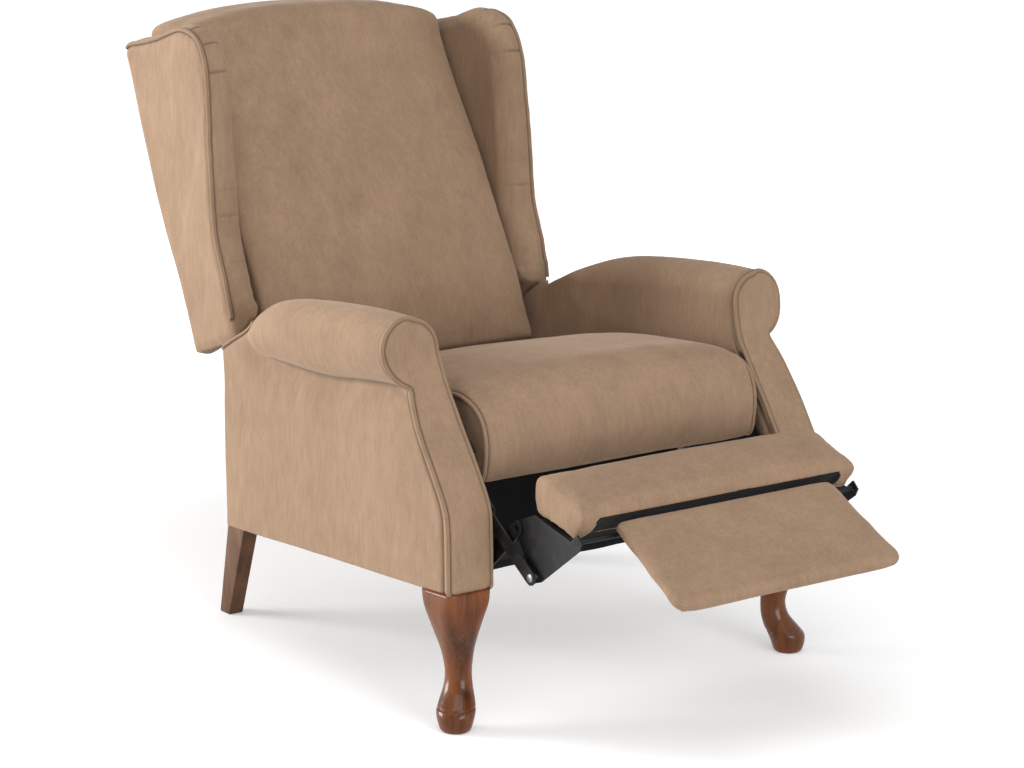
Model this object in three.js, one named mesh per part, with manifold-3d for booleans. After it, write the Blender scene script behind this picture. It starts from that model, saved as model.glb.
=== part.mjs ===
// Wingback push-back recliner with its footrest out, in millimetres, +Z up, front towards -Y.
// Side outlines are given as [forward, height]: forward is the distance towards the front, so y = -forward.
import * as THREE from "three";
import { mergeVertices } from "three/addons/utils/BufferGeometryUtils.js";
import Module from "manifold-3d";

const wasm = await Module();
wasm.setup();

// Overall body
const inside_width = 544; // between the inner faces of the arms
const arm_width = 76;
const arm_front = 327; // forward place of the arm fronts at their foot
const arm_rear = -292;
const underside_front_height = 212; // height of the arm's lower edge at the front
const underside_rear_height = 180;
const fit_gap = 0.3; // clearance between pieces that touch
const plate_gap = 0.6; // running clearance between steel plates

// Rolled arms
const roll_radius = 47.5;
const roll_overhang = 23.5; // how far the roll stands out past the arm's outer face
const roll_top = 588; // at the front
const roll_front = 197; // forward place of the roll's front face
const neck_recess = 13; // how far the facing narrows under the roll
const facing_thickness = 12;
const facing_crown = 4;
const flat_top_round = 14; // rounding of the arm's top behind the roll
const flat_top_fall = 28; // how much lower its outer edge stands there

// Timber inside the arms
const side_frame_thickness = 30;
const side_frame_inset = 16; // padding between the arm's inner face and the frame
const side_frame_setback = 26; // padding between the arm's front and the frame
const side_frame_cover = 88; // from the frame's top up to the roll's
const side_frame_rear_drop = 60; // how much lower the frame stands at its rear

// Rear rail of the base, behind the arms
const rear_rail_depth = 56;
const rear_rail_height = 50;
const rear_rail_lift = 8; // above the arm's lower edge
const rear_rail_overrun = 38; // how far the rail runs past the arms' inner faces

// Legs
const front_leg_half_top = 38;
const rear_leg_top_width = 28;
const rear_leg_top_depth = 54;
const rear_leg_foot_width = 26;
const rear_leg_foot_depth = 30;
const rear_leg_inset = 2; // from the rail's end to the leg
const rear_leg_rake = 76; // how far the foot stands back of the leg's top
const rear_leg_lean = 15; // how far the foot stands in from the leg's top

// Steel plates: thickness, and the layers from the arm inwards
const plate_thickness = 3;
const pin_radius = 4;
const pin_sides = 12;
const hole_clearance = 0.4;
const plate_edge = 11; // steel round each pivot hole

// Base plates and swing links
const swing_length = 113;
const swing_spacing = 220; // between the front and the rear link
const base_plate_below = 41; // from the swing links' lower pivots down to the base plate's edge
const base_plate_above = 37;
const base_plate_overrun = 75; // how far the plate runs past each swing pivot
const cross_bar_depth = 25;
const cross_bar_height = 26;
const cross_bar_wall = 3;
const front_bar_forward = 127;
const rear_bar_forward = -138;

// Seat
const seat_rail_width = 25;
const seat_rail_height = 36;
const seat_box_fall = 36; // how much lower the seat box stands at its rear
const swing_head_drop = 14; // from the seat rails down to the swing links' upper pivots
const seat_frame_front = 246;
const seat_frame_rear = -236;
const seat_plate_front = 250;
const seat_plate_below = 34; // from the swing links' upper pivots down to the plate's edge
const bracket_notch_run = 22; // how far in front of the back's hinge the seat rails are let in
const spring_wire = 4.4;
const spring_swing = 26; // half the width of a sinuous spring
const spring_waves = 7;
const seat_spring_count = 4;
const seat_spring_span = 300; // between the outer seat springs
const torque_tube_forward = -60;
const torque_tube_radius = 11;
const seat_nose = 286; // forward place of the cushion's front
const seat_tail = -276;
const seat_side_height = 471; // height of the cushion's front part at its end seams
const seat_cushion_depth = 83; // from there down to the seat rails
const seat_drop_depth = 128; // from there down to the cushion's lower front edge
const seat_crown = 28;
const seat_end_round = 9;

// Footrest linkage with the footrest out, as [forward, height over the swing links' upper pivots]
const drive_pivot_place = [305.5, -25]; // drive link on the seat plate
const knee_pivot_place = [407, -94]; // drive link on the ottoman bracket
const guide_pivot_place = [281, -110]; // guide link on the seat plate
const guide_tip_place = [366, -32]; // guide link on the ottoman bracket
const flipper_pivot_place = [500, -24];

// Ottoman pad and board
const ottoman_side_room = 5; // from the brackets' outer faces to the pad's ends
const ottoman_rear = 396;
const ottoman_nose = 509;
const ottoman_low_drop = 25; // from the swing links' upper pivots down to the pad's lower edge
const ottoman_height = 74;
const ottoman_end_round = 6;
const ottoman_crown = 5;
const ottoman_board_thickness = 10;
const ottoman_board_inset = 14;
const ottoman_flange_width = 45;

// Flipper: the small second pad in front
const flipper_start_place = [513, 3]; // its rear upper edge, placed as the pivots are
const flipper_slope_deg = 29;
const flipper_length = 181;
const flipper_rear_half_width = 199;
const flipper_front_half_width = 207;
const flipper_thickness = 21;
const flipper_board_thickness = 8;
const flipper_board_inset = 12;
const flipper_rod_radius = 4;
const flipper_hinge_width = 30;
const flipper_hinge_reach = 70;
const flipper_hinge_spread = 280; // between the two hinges

// Back
const back_hinge_place = [-205, -20]; // placed as the footrest's pivots are
const back_side_room = 1.3; // from the stiles' outer faces to the cushion's ends
const back_end_round = 8;
const back_frame_lift = 27; // from the hinge up to the stiles' lower ends
const back_frame_head = 895;
const back_frame_rear_foot = -392; // rear face of the stiles at the foot
const back_frame_rear_head = -640;
const back_frame_depth = 44;
const stile_width = 42;
const back_rail_height = 46;
const back_lip_gap = 9; // from the frame's head up to the cushion's overhang
const back_lip = back_frame_head + back_lip_gap;
const back_front_foot = -276; // front of the cushion at its foot
const back_front_head = -548;
const back_foot_drop = 75; // from the seat's side height down to the cushion's foot
const back_head_rise = 40; // from the frame's head up to the cushion's
const back_head = back_frame_head + back_head_rise;
const back_crown = 20;
const back_top_crown = 31;
const back_rear_head = -670;
const back_spring_count = 2;
const back_spring_span = 190;
const back_spring_room = 6;

// Wings
const wing_rear = -658;
const wing_front = -311;
const wing_lift = 78; // from the stiles' lower ends up to the foot of the wings and the outside back
const wing_head_rise = 54; // from the frame's head up to the wings'
const wing_high = back_frame_head + wing_head_rise;
const wing_thickness = 47; // at its rear and foot
const wing_flare = 14; // how far the wing's front bows out
const wing_crown = 5;
const wing_hem = 9; // rounding of the wing's edges
const wing_front_round = 22; // rounding from the wing's inner face to its front
const wing_gap = 2; // between the back cushion and the wing

// Outline shares, as [depth, height] or [height, setback] of the sizes that they follow
const front_sweep_shares = [
  [0, 0], [0.257, 0.015], [0.339, 0.076], [0.418, 0.214], [0.497, 0.366], [0.577, 0.534],
  [0.656, 0.687], [0.735, 0.84], [0.815, 0.93], [0.881, 0.977], [1, 1],
];
// Levels of the arm under its roll: [height, how far the outer face is drawn in]
const panel_level_shares = [
  [0, 0], [0.345, 0], [0.455, 0], [0.562, 0], [0.669, 0], [0.776, 0.08], [0.883, 0.35], [1, 1],
];
const side_frame_front_shares = [1, 0.94, 0.86, 0.8, 0.74, 0.68, 0.618];
// Each station of the arm: [way from rear to roll front, height under the roll's top, how far it is a roll]
const arm_station_shares = [
  [0, 0.239, 0], [0.061, 0.199, 0], [0.115, 0.168, 0], [0.166, 0.134, 0.2], [0.227, 0.102, 0.68],
  [0.307, 0.072, 0.9], [0.423, 0.044, 0.98], [0.593, 0.02, 1], [0.76, 0.005, 1], [0.903, 0, 1],
];
// Cabriole leg: [height, outward shift, half width, squareness power], shares of its height and top half width
const front_leg_shares = [
  [0, 0.28, 0.5, 2], [0.02, 0.28, 0.6, 2], [0.08, 0.27, 0.7, 2], [0.14, 0.18, 0.75, 2],
  [0.205, -0.06, 0.68, 2], [0.285, -0.29, 0.565, 2], [0.38, -0.37, 0.515, 2], [0.49, -0.29, 0.565, 2.1],
  [0.6, -0.13, 0.67, 2.3],
  [0.725, 0.06, 0.815, 3], [0.84, 0.14, 0.95, 4], [0.92, 0.12, 1, 6], [1, 0.1, 1, 8],
];
// Cushion outlines: [depth, height, share of the crown]
const seat_shares = [
  [0.05, 0.1, 0], [0, 0.35, 0], [0.03, 0.5, 0.2], [0.16, 0.586, 0.5], [0.4, 0.773, 0.8], [0.52, 0.862, 0.92],
  [0.62, 0.935, 1], [0.8, 0.99, 0.9], [0.89, 1, 0.8], [0.955, 0.9, 0.5], [0.99, 0.71, 0.3], [1, 0.49, 0.2],
  [0.995, 0.26, 0.1],
  [0.985, 0.06, 0], [0.96, 0, 0], [0.938, 0.06, 0], [0.932, 0.39, 0],
];
const ottoman_shares = [
  [0.06, 0.27, 0], [0, 0.53, 0.3], [0, 0.86, 0.6], [0.06, 1, 0.9], [0.3, 0.94, 1], [0.6, 0.74, 1],
  [0.87, 0.54, 0.9], [1, 0.4, 0.3], [0.8, 0, 0],
];
const back_front_shares = [
  [0, 0.03, 0.2], [0.077, 0.11, 0.5], [0.158, 0.213, 0.7], [0.26, 0.31, 0.9], [0.368, 0.406, 1],
  [0.474, 0.5, 1], [0.581, 0.594, 1], [0.691, 0.681, 1], [0.798, 0.766, 1], [0.9, 0.855, 0.9],
  [0.988, 0.935, 0.8],
];
const back_top_shares = [
  [0.115, 0.02, 1], [0.34, 0, 1], [0.67, 0, 1], [0.92, 0.18, 0.9], [1, 0.45, 0.6], [0.94, 0.62, 0],
];
const wing_shares = [
  [1, 0.15], [0.974, 0.203], [0.937, 0.26], [0.899, 0.321], [0.859, 0.39], [0.841, 0.479], [0.83, 0.565],
  [0.813, 0.679], [0.798, 0.789], [0.784, 0.859], [0.755, 0.916], [0.697, 0.968], [0.622, 0.992], [0.527, 1],
  [0.432, 0.985], [0.337, 0.966], [0.239, 0.952], [0.147, 0.941], [0.063, 0.932], [0.017, 0.916],
  [0.003, 0.888], [0.124, 0.677], [0.277, 0.439], [0.467, 0.205], [0.599, 0], [0.801, 0.076],
];
const outside_back_shares = [[0, 0], [0.221, 0.225], [0.538, 0.481], [0.793, 0.742], [1, 1]];

// Rounding of the wing from its inner to its outer face: [way, share of hem, share of crown, share of front]
const wing_layer_shares = [
  [0, -0.5, 0, -1], [0.05, -0.2, 0, -0.66], [0.13, 0, 0.2, -0.38], [0.27, 0, 0.6, -0.13], [0.5, 0, 1, 0],
  [0.88, 0, 0, 0], [1, -0.5, 0, 0],
];

// Places that follow from the sizes above
const arm_inner = inside_width / 2;
const arm_outer = arm_inner + arm_width;
const roll_centre_x = arm_outer + roll_overhang - roll_radius;
const layer_pitch = plate_thickness + plate_gap;
const base_layer = arm_inner - plate_gap;
const swing_layer = base_layer - layer_pitch;
const seat_layer = swing_layer - layer_pitch;
const guide_layer = seat_layer - layer_pitch;
const bracket_layer = guide_layer - layer_pitch;
const seat_rail_outer = seat_layer - plate_thickness - fit_gap;
const side_frame_top = roll_top - side_frame_cover;
const side_frame_rear_height = side_frame_top - side_frame_rear_drop;
const rear_rail_half_width = arm_inner + rear_rail_overrun;
const seat_half_width = bracket_layer;
const seat_drop = seat_side_height - seat_drop_depth;
const seat_rail_high = seat_side_height - seat_cushion_depth;
const seat_rail_low = seat_rail_high - seat_rail_height;
const swing_seat_height = seat_rail_low - swing_head_drop;
const swing_base_height = swing_seat_height - swing_length;
const base_plate_low = swing_base_height - base_plate_below;
const base_plate_high = swing_base_height + base_plate_above;
const seat_plate_low = swing_seat_height - seat_plate_below;
const on_seat = ([forward, rise]) => [forward, swing_seat_height + rise];
const [drive_pivot, knee_pivot] = [on_seat(drive_pivot_place), on_seat(knee_pivot_place)];
const [guide_pivot, guide_tip] = [on_seat(guide_pivot_place), on_seat(guide_tip_place)];
const [flipper_pivot, flipper_start] = [on_seat(flipper_pivot_place), on_seat(flipper_start_place)];
const ottoman_half_width = bracket_layer - ottoman_side_room;
const ottoman_low = swing_seat_height - ottoman_low_drop;
const ottoman_high = ottoman_low + ottoman_height;
const back_hinge = on_seat(back_hinge_place);
const back_frame_foot = back_hinge[1] + back_frame_lift;
const back_foot = seat_side_height - back_foot_drop;
const back_half_width = guide_layer - plate_thickness - fit_gap - back_side_room;
const wing_inner = back_half_width + wing_gap;
const wing_outer = wing_inner + wing_thickness;
const wing_low = back_frame_foot + wing_lift;

// Materials
const fabric = { color: 0x9c7c5c, roughness: 0.95, metalness: 0 };
const timber = { color: 0xc9a878, roughness: 0.8, metalness: 0 };
const walnut = { color: 0x5a2a18, roughness: 0.3, metalness: 0 };
const dark_wood = { color: 0x3a2018, roughness: 0.45, metalness: 0 };
const black_steel = { color: 0x1a1a1c, roughness: 0.45, metalness: 0.6 };
const spring_steel = { color: 0x6a6c70, roughness: 0.35, metalness: 0.9 };

// Small tools for shapes

/** A point from its side place, forward place and height. */
function point(x, forward, height) {
  return new THREE.Vector3(x, -forward, height);
}

/** The value a share of the way from one size to another. */
function between(low, high, share) {
  return low + (high - low) * share;
}

/** Reads a table of [place, value] rows at a place, on straight lines between its rows. */
function read_table(table, place) {
  const next = table.findIndex((row) => row[0] >= place);
  if (next === 0) return table[0][1];
  if (next < 0) return table[table.length - 1][1];
  const [from, to] = [table[next - 1], table[next]];
  return between(from[1], to[1], (place - from[0]) / (to[0] - from[0]));
}

/** Outline shares laid into a box from its rear foot to its front head. */
function fitted(shares, rear, front, low, high) {
  return shares.map(([depth, rise, swell = 0]) => {
    return [between(rear, front, depth), between(low, high, rise), swell];
  });
}

/** Twice the signed area of a flat outline. */
function turning(outline) {
  return outline.reduce((sum, a, i) => {
    const b = outline[(i + 1) % outline.length];
    return sum + a[0] * b[1] - b[0] * a[1];
  }, 0);
}

/** A flat outline moved outwards by a distance, which may differ from point to point. */
function offset_outline(outline, distance_at) {
  const sense = Math.sign(turning(outline));
  return outline.map((here, i) => {
    const before = outline[(i + outline.length - 1) % outline.length];
    const after = outline[(i + 1) % outline.length];
    const along = new THREE.Vector2(after[0] - before[0], after[1] - before[1]).normalize();
    const away = distance_at(here);
    return [here[0] + along.y * sense * away, here[1] - along.x * sense * away];
  });
}

/** The signed volume that a set of triangles encloses. */
function enclosed(points, faces) {
  return faces.reduce((sum, [a, b, c]) => {
    return sum + points[a].dot(new THREE.Vector3().crossVectors(points[b], points[c]));
  }, 0);
}

/** The triangles that close a ring, found on a flat view of it. */
function flat_cap(flatten) {
  return (ring) => {
    const flat = ring.map(flatten);
    const sense = Math.sign(turning(flat.map((p) => [p.x, p.y])));
    return THREE.ShapeUtils.triangulateShape(flat, []).map(([a, b, c]) => {
      const same = Math.sign(turning([a, b, c].map((i) => [flat[i].x, flat[i].y]))) === sense;
      return same ? [a, b, c] : [a, c, b];
    });
  };
}

/** The triangles that close a ring in bands, each point tied to the one as far from the ring's other end. */
function banded_cap(ring) {
  const last = ring.length - 1;
  const faces = [];
  for (let i = 0; i < (last - 1) / 2; i++) {
    faces.push([i, i + 1, last - i], [i + 1, last - i - 1, last - i]);
  }
  return faces;
}

const side_view_cap = flat_cap((p) => new THREE.Vector2(-p.y, p.z));
const top_view_cap = flat_cap((p) => new THREE.Vector2(p.x, p.y));

/** A closed skin over rings of equally many points, capped at both ends. */
function loft(rings, cap) {
  const count = rings[0].length;
  const points = rings.flat();
  const last = (rings.length - 1) * count;
  const faces = cap(rings[0]).map(([a, b, c]) => [a, c, b]);
  faces.push(...cap(rings[rings.length - 1]).map((face) => face.map((i) => i + last)));
  for (let ring = 0; ring + 1 < rings.length; ring++) {
    for (let i = 0; i < count; i++) {
      const here = ring * count + i;
      const next = ring * count + ((i + 1) % count);
      faces.push([here, next, next + count], [here, next + count, here + count]);
    }
  }
  if (enclosed(points, faces) < 0) faces.forEach((face) => face.reverse());
  const geometry = new THREE.BufferGeometry().setFromPoints(points);
  geometry.setIndex(faces.flat());
  return geometry;
}

/** A flat outline of [forward, height] points as a slab from one side place to another, with round holes. */
function slab(outline, x_from, x_to, holes = []) {
  const corners = outline.map(([forward, height]) => new THREE.Vector2(forward, height));
  if (turning(outline) < 0) corners.reverse();
  const shape = new THREE.Shape(corners);
  holes.forEach(([forward, height, radius]) => {
    const hole = new THREE.Path();
    hole.absarc(forward, height, radius, 0, 2 * Math.PI, true);
    shape.holes.push(hole);
  });
  const geometry = new THREE.ExtrudeGeometry(shape, {
    depth: Math.abs(x_to - x_from),
    bevelEnabled: false,
    curveSegments: 6,
  });
  const outer = Math.max(x_from, x_to);
  const turned = new THREE.Matrix4().set(0, 0, -1, outer, -1, 0, 0, 0, 0, 1, 0, 0, 0, 0, 0, 1);
  return geometry.applyMatrix4(turned);
}

/** A slab placed on one side of the chair, its outer face at a distance from the middle. */
function side_slab(outline, side, outer, thickness, holes = []) {
  return slab(outline, side * outer, side * (outer - thickness), holes);
}

/** A block between two corners, each given as side place, forward place and height. */
function block(x_from, x_to, rear, front, low, high) {
  return slab([[rear, low], [front, low], [front, high], [rear, high]], x_from, x_to);
}

/** The rounded outline of a straight link between two pivots. */
function link_outline(from, to, radius) {
  const heading = Math.atan2(to[1] - from[1], to[0] - from[0]);
  const turn = Math.PI / 6;
  const outline = [];
  for (let i = 0; i <= 6; i++) {
    const angle = heading + Math.PI / 2 + i * turn;
    outline.push([from[0] + radius * Math.cos(angle), from[1] + radius * Math.sin(angle)]);
  }
  for (let i = 0; i <= 6; i++) {
    const angle = heading - Math.PI / 2 + i * turn;
    outline.push([to[0] + radius * Math.cos(angle), to[1] + radius * Math.sin(angle)]);
  }
  return outline;
}

/** A geometry as a solid for joins and cuts. */
function solid_of(geometry) {
  const bare = geometry.clone();
  bare.deleteAttribute("normal");
  bare.deleteAttribute("uv");
  const merged = mergeVertices(bare, 1e-4);
  return new wasm.Manifold(
    new wasm.Mesh({
      numProp: 3,
      vertProperties: new Float32Array(merged.attributes.position.array),
      triVerts: new Uint32Array(merged.index.array),
    }),
  );
}

/** A solid back as a geometry. */
function geometry_of(solid) {
  const mesh = solid.getMesh();
  const geometry = new THREE.BufferGeometry();
  geometry.setAttribute("position", new THREE.BufferAttribute(new Float32Array(mesh.vertProperties), 3));
  geometry.setIndex(new THREE.BufferAttribute(new Uint32Array(mesh.triVerts), 1));
  return geometry;
}

/** One geometry with others cut out of it. */
function cut(geometry, ...tools) {
  return geometry_of(tools.reduce((solid, tool) => solid.subtract(solid_of(tool)), solid_of(geometry)));
}

/** Several overlapping geometries joined into one. */
function joined(...geometries) {
  return geometry_of(geometries.map(solid_of).reduce((solid, next) => solid.add(next)));
}

/** A round pin across the chair, centred on [forward, height]. */
function pin(centre, radius, x_from, x_to) {
  const rod = new THREE.CylinderGeometry(radius, radius, Math.abs(x_to - x_from), pin_sides);
  rod.rotateZ(Math.PI / 2);
  return rod.translate((x_from + x_to) / 2, -centre[0], centre[1]);
}

/** Adds a named piece to a group. */
function add(group, name, geometry, finish, place = new THREE.Vector3()) {
  const mesh = new THREE.Mesh(geometry, new THREE.MeshStandardMaterial(finish));
  mesh.name = name;
  mesh.position.copy(place);
  group.add(mesh);
  return mesh;
}

/** A round bar across the chair, from one side place to another, centred on [forward, height]. */
function cross_rod(group, name, centre, radius, x_from, x_to, finish) {
  const rod = pin([0, 0], radius, x_from, x_to);
  return add(group, name, rod, finish, point(0, centre[0], centre[1]));
}

/** The height of the body's lower edge at a forward place. */
function underside(forward) {
  const along = (forward - arm_rear) / (arm_front - arm_rear);
  return between(underside_rear_height, underside_front_height, along);
}

/** The forward place of the arm's front at a height. */
function arm_front_at(height) {
  const share = (height - underside_front_height) / (roll_top - underside_front_height);
  return between(arm_front, roll_front, read_table(front_sweep_shares, share));
}

// Arms

const round_steps = 9;
const over_roll_turn = Math.PI / round_steps;

/** The arm's cross-section as a roll on a panel, as [side place, height]. */
function roll_section(low, top) {
  const centre = top - roll_radius;
  const neck = centre - roll_radius;
  const section = panel_level_shares.map(([rise]) => [arm_inner, between(low, neck, rise)]);
  for (let i = 0; i <= round_steps + 2; i++) {
    const angle = Math.PI - i * over_roll_turn;
    section.push([roll_centre_x + roll_radius * Math.cos(angle), centre + roll_radius * Math.sin(angle)]);
  }
  const outer = panel_level_shares.map(([rise, recess]) => {
    return [arm_outer - recess * neck_recess, between(low, neck, rise)];
  });
  return [...section, ...outer.reverse()];
}

/** The arm's section behind the roll, a panel with a rounded top that falls outwards, as many points. */
function panel_section(low, top) {
  const middle = (arm_inner + arm_outer) / 2;
  const shoulder = top - 2 * flat_top_round;
  const section = panel_level_shares.map(([rise]) => [arm_inner, between(low, shoulder, rise)]);
  const squared = (value) => Math.sign(value) * Math.abs(value) ** 0.45;
  for (let i = 0; i <= round_steps + 2; i++) {
    const angle = Math.PI * (1 - i / (round_steps + 2));
    const x = middle + (arm_width / 2) * squared(Math.cos(angle));
    const fall = (flat_top_fall * (x - arm_inner)) / arm_width;
    section.push([x, top - fall - flat_top_round + flat_top_round * squared(Math.sin(angle))]);
  }
  const outer = panel_level_shares.map(([rise]) => [arm_outer, between(low, shoulder - flat_top_fall, rise)]);
  return [...section, ...outer.reverse()];
}

/** The padded, fabric-covered arm: panel, roll and swept front, hollow for its frame. */
function arm_body(side, frame_cavity) {
  const rings = arm_station_shares.map(([way, drop, rolled]) => {
    const forward = between(arm_rear, roll_front, way);
    const top = between(roll_top, underside_front_height, drop);
    const low = underside(forward);
    const roll = roll_section(low, top);
    return panel_section(low, top).map(([x, height], i) => {
      return point(side * between(x, roll[i][0], rolled), forward, between(height, roll[i][1], rolled));
    });
  });
  const behind_facing = facing_thickness + fit_gap;
  rings.push(
    roll_section(underside(arm_front - behind_facing), roll_top).map(([x, height]) => {
      return point(side * x, arm_front_at(height) - behind_facing, height);
    }),
  );
  return cut(loft(rings, banded_cap), frame_cavity);
}

/** The padded facing on the arm's front, following its sweep. */
function arm_facing(side) {
  const outline = roll_section(underside(arm_front), roll_top);
  const drawn_in = offset_outline(outline, () => -2 * facing_crown);
  const sheet = (section, back_off) => {
    return section.map(([x, height]) => point(side * x, arm_front_at(height) - back_off, height));
  };
  const [rear, edge] = [sheet(outline, facing_thickness), sheet(outline, facing_crown / 2)];
  return loft([rear, edge, sheet(drawn_in, -facing_crown)], banded_cap);
}

/** The side outline of the plywood frame inside an arm, grown by a margin. */
function side_frame_outline(margin, foot_drop) {
  const front_heights = side_frame_front_shares.map((share) => side_frame_top * share);
  const rear = arm_rear + flat_top_round;
  const slope_run = (side_frame_top - side_frame_rear_height) * 1.1;
  const outline = [[rear, underside(rear)], [rear, side_frame_rear_height], [rear + slope_run, side_frame_top]];
  front_heights.forEach((height) => outline.push([arm_front_at(height) - side_frame_setback, height]));
  const front = arm_front - side_frame_setback;
  outline.push([front, underside(front)]);
  const grown = offset_outline(outline, () => margin);
  grown[0] = [rear - margin, underside(rear) - foot_drop];
  grown[grown.length - 1] = [front + margin, underside(front) - foot_drop];
  return grown;
}

/** Both arms with their frames. */
function add_arms(base) {
  [["left", -1], ["right", 1]].forEach(([hand, side]) => {
    const outer = arm_inner + side_frame_inset + side_frame_thickness;
    const cavity = side_slab(
      side_frame_outline(fit_gap, facing_thickness), side, outer + fit_gap, side_frame_thickness + 2 * fit_gap,
    );
    const frame = side_slab(side_frame_outline(0, 0), side, outer, side_frame_thickness);
    add(base, `side_frame_${hand}`, frame, timber);
    add(base, `arm_upholstery_${hand}`, arm_body(side, cavity), fabric);
    add(base, `arm_facing_${hand}`, arm_facing(side), fabric);
  });
}

// Legs

/** A ring of points round a leg, from round to square as the power grows. */
function leg_ring(x, forward, height, half_width, power) {
  const sides = 16;
  return Array.from({ length: sides }, (unused, i) => {
    const angle = ((i + 0.5) * 2 * Math.PI) / sides;
    const [across, along] = [Math.cos(angle), Math.sin(angle)];
    const radius = half_width / (Math.abs(across) ** power + Math.abs(along) ** power) ** (1 / power);
    return point(x + radius * across, forward + radius * along, height);
  });
}

/** A cabriole front leg, its top under the arm's front corner, standing on its foot. */
function front_leg(side, centre_forward) {
  const diagonal = Math.SQRT1_2;
  const rings = front_leg_shares.map(([rise, shift, width, power]) => {
    const out = shift * front_leg_half_top * diagonal;
    const top = underside(centre_forward) - fit_gap;
    return leg_ring(side * out, out, rise * top, width * front_leg_half_top, power);
  });
  rings[rings.length - 1].forEach((p) => {
    p.z = underside(centre_forward - p.y) - fit_gap;
  });
  return loft(rings, top_view_cap);
}

/** A square rear leg that narrows and rakes back to its foot. */
function rear_leg(side, top_height) {
  const corners = [[-1, -1], [1, -1], [1, 1], [-1, 1]];
  const foot = corners.map(([across, along]) => {
    const x = side * ((across * rear_leg_foot_width) / 2 - rear_leg_lean);
    return point(x, (along * rear_leg_foot_depth) / 2 - rear_leg_rake, 0);
  });
  const head = corners.map(([across, along]) => {
    return point((side * across * rear_leg_top_width) / 2, (along * rear_leg_top_depth) / 2, top_height);
  });
  return loft([foot, head], top_view_cap);
}

/** The four legs and the rear rail that carries the rear pair. */
function add_legs(base) {
  const rail_front = arm_rear - fit_gap;
  const rail_low = underside(arm_rear) + rear_rail_lift;
  const front_centre = arm_front - front_leg_half_top;
  const rear_centre = rail_front - rear_rail_depth / 2;
  const rear_x = rear_rail_half_width - rear_leg_inset - rear_leg_top_width / 2;
  add(
    base, "rear_rail",
    block(-rear_rail_half_width, rear_rail_half_width, rail_front - rear_rail_depth, rail_front,
      rail_low, rail_low + rear_rail_height),
    fabric,
  );
  [["left", -1], ["right", 1]].forEach(([hand, side]) => {
    const front_place = point(side * (arm_inner + arm_width / 2), front_centre, 0);
    add(base, `front_leg_${hand}`, front_leg(side, front_centre), walnut, front_place);
    const rear_place = point(side * rear_x, rear_centre, 0);
    add(base, `rear_leg_${hand}`, rear_leg(side, rail_low - fit_gap), dark_wood, rear_place);
  });
}

// Base steelwork

const front_swing = [swing_spacing / 2, swing_base_height];
const rear_swing = [-swing_spacing / 2, swing_base_height];
const pin_hole = pin_radius + hole_clearance;

/** A rectangular steel tube across the chair. */
function cross_tube(forward, low) {
  const half = swing_layer - plate_thickness - plate_gap;
  const [rear, front] = [forward - cross_bar_depth / 2, forward + cross_bar_depth / 2];
  const high = low + cross_bar_height;
  const bore = block(
    -half * 2, half * 2, rear + cross_bar_wall, front - cross_bar_wall,
    low + cross_bar_wall, high - cross_bar_wall,
  );
  const end = base_layer - plate_thickness - fit_gap;
  return cut(block(-end, end, rear, front, low, high), bore);
}

/** The plates on the arms, the two bars between them and the four swing links. */
function add_base_steel(base, swings) {
  const far = swing_spacing / 2 + base_plate_overrun;
  const plate = [
    [-far, base_plate_low], [far, base_plate_low], [far, base_plate_high - cross_bar_height],
    [far - cross_bar_height, base_plate_high], [-far + cross_bar_height, base_plate_high],
    [-far, base_plate_high - cross_bar_height],
  ];
  add(base, "front_cross_bar", cross_tube(front_bar_forward, base_plate_low), black_steel);
  add(base, "rear_cross_bar", cross_tube(rear_bar_forward, base_plate_low), black_steel);
  [["left", -1], ["right", 1]].forEach(([hand, side]) => {
    const holes = [[...front_swing, pin_hole], [...rear_swing, pin_hole]];
    add(base, `base_plate_${hand}`, side_slab(plate, side, base_layer, plate_thickness, holes), black_steel);
    [["front", front_swing], ["rear", rear_swing]].forEach(([end, foot]) => {
      const head = [foot[0], swing_seat_height];
      const strap = side_slab(link_outline(foot, head, plate_edge), side, swing_layer, plate_thickness);
      const middle_layer = side * (swing_layer - plate_thickness / 2);
      const foot_pin = pin(foot, pin_radius, middle_layer, side * base_layer);
      const head_pin = pin(head, pin_radius, middle_layer, side * (seat_layer - plate_thickness));
      add(swings, `${end}_swing_link_${hand}`, joined(strap, foot_pin, head_pin), black_steel);
    });
  });
}

// Seat

/** The height of the seat rails' tops at a forward place. */
function seat_box_top(forward) {
  const way = (forward - seat_frame_rear) / (seat_frame_front - seat_frame_rear);
  return between(seat_rail_high - seat_box_fall, seat_rail_high, way);
}

/** The plate on each side that carries the seat, the footrest linkage and the back. */
function seat_plate(side) {
  const [drive_x, drive_z] = drive_pivot;
  const [guide_x, guide_z] = guide_pivot;
  const boss = plate_edge;
  const rear_lug = back_hinge[0] - boss;
  const outline = [
    [rear_lug, back_hinge[1] - boss], [back_hinge[0] + boss, back_hinge[1] - boss],
    [back_hinge[0] + 3 * boss, seat_plate_low], [seat_plate_front - boss, seat_plate_low],
    [guide_x - boss, guide_z + boss], [guide_x - boss, guide_z - boss], [guide_x + boss, guide_z - boss],
    [drive_x + boss, drive_z - boss], [drive_x + boss, drive_z + boss],
    [seat_frame_front, seat_rail_high - fit_gap], [rear_lug, seat_box_top(rear_lug) - fit_gap],
  ];
  const pivots = [drive_pivot, guide_pivot, back_hinge];
  pivots.push([front_swing[0], swing_seat_height], [rear_swing[0], swing_seat_height]);
  const holes = pivots.map((pivot) => [...pivot, pin_hole]);
  return side_slab(outline, side, seat_layer, plate_thickness, holes);
}

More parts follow.
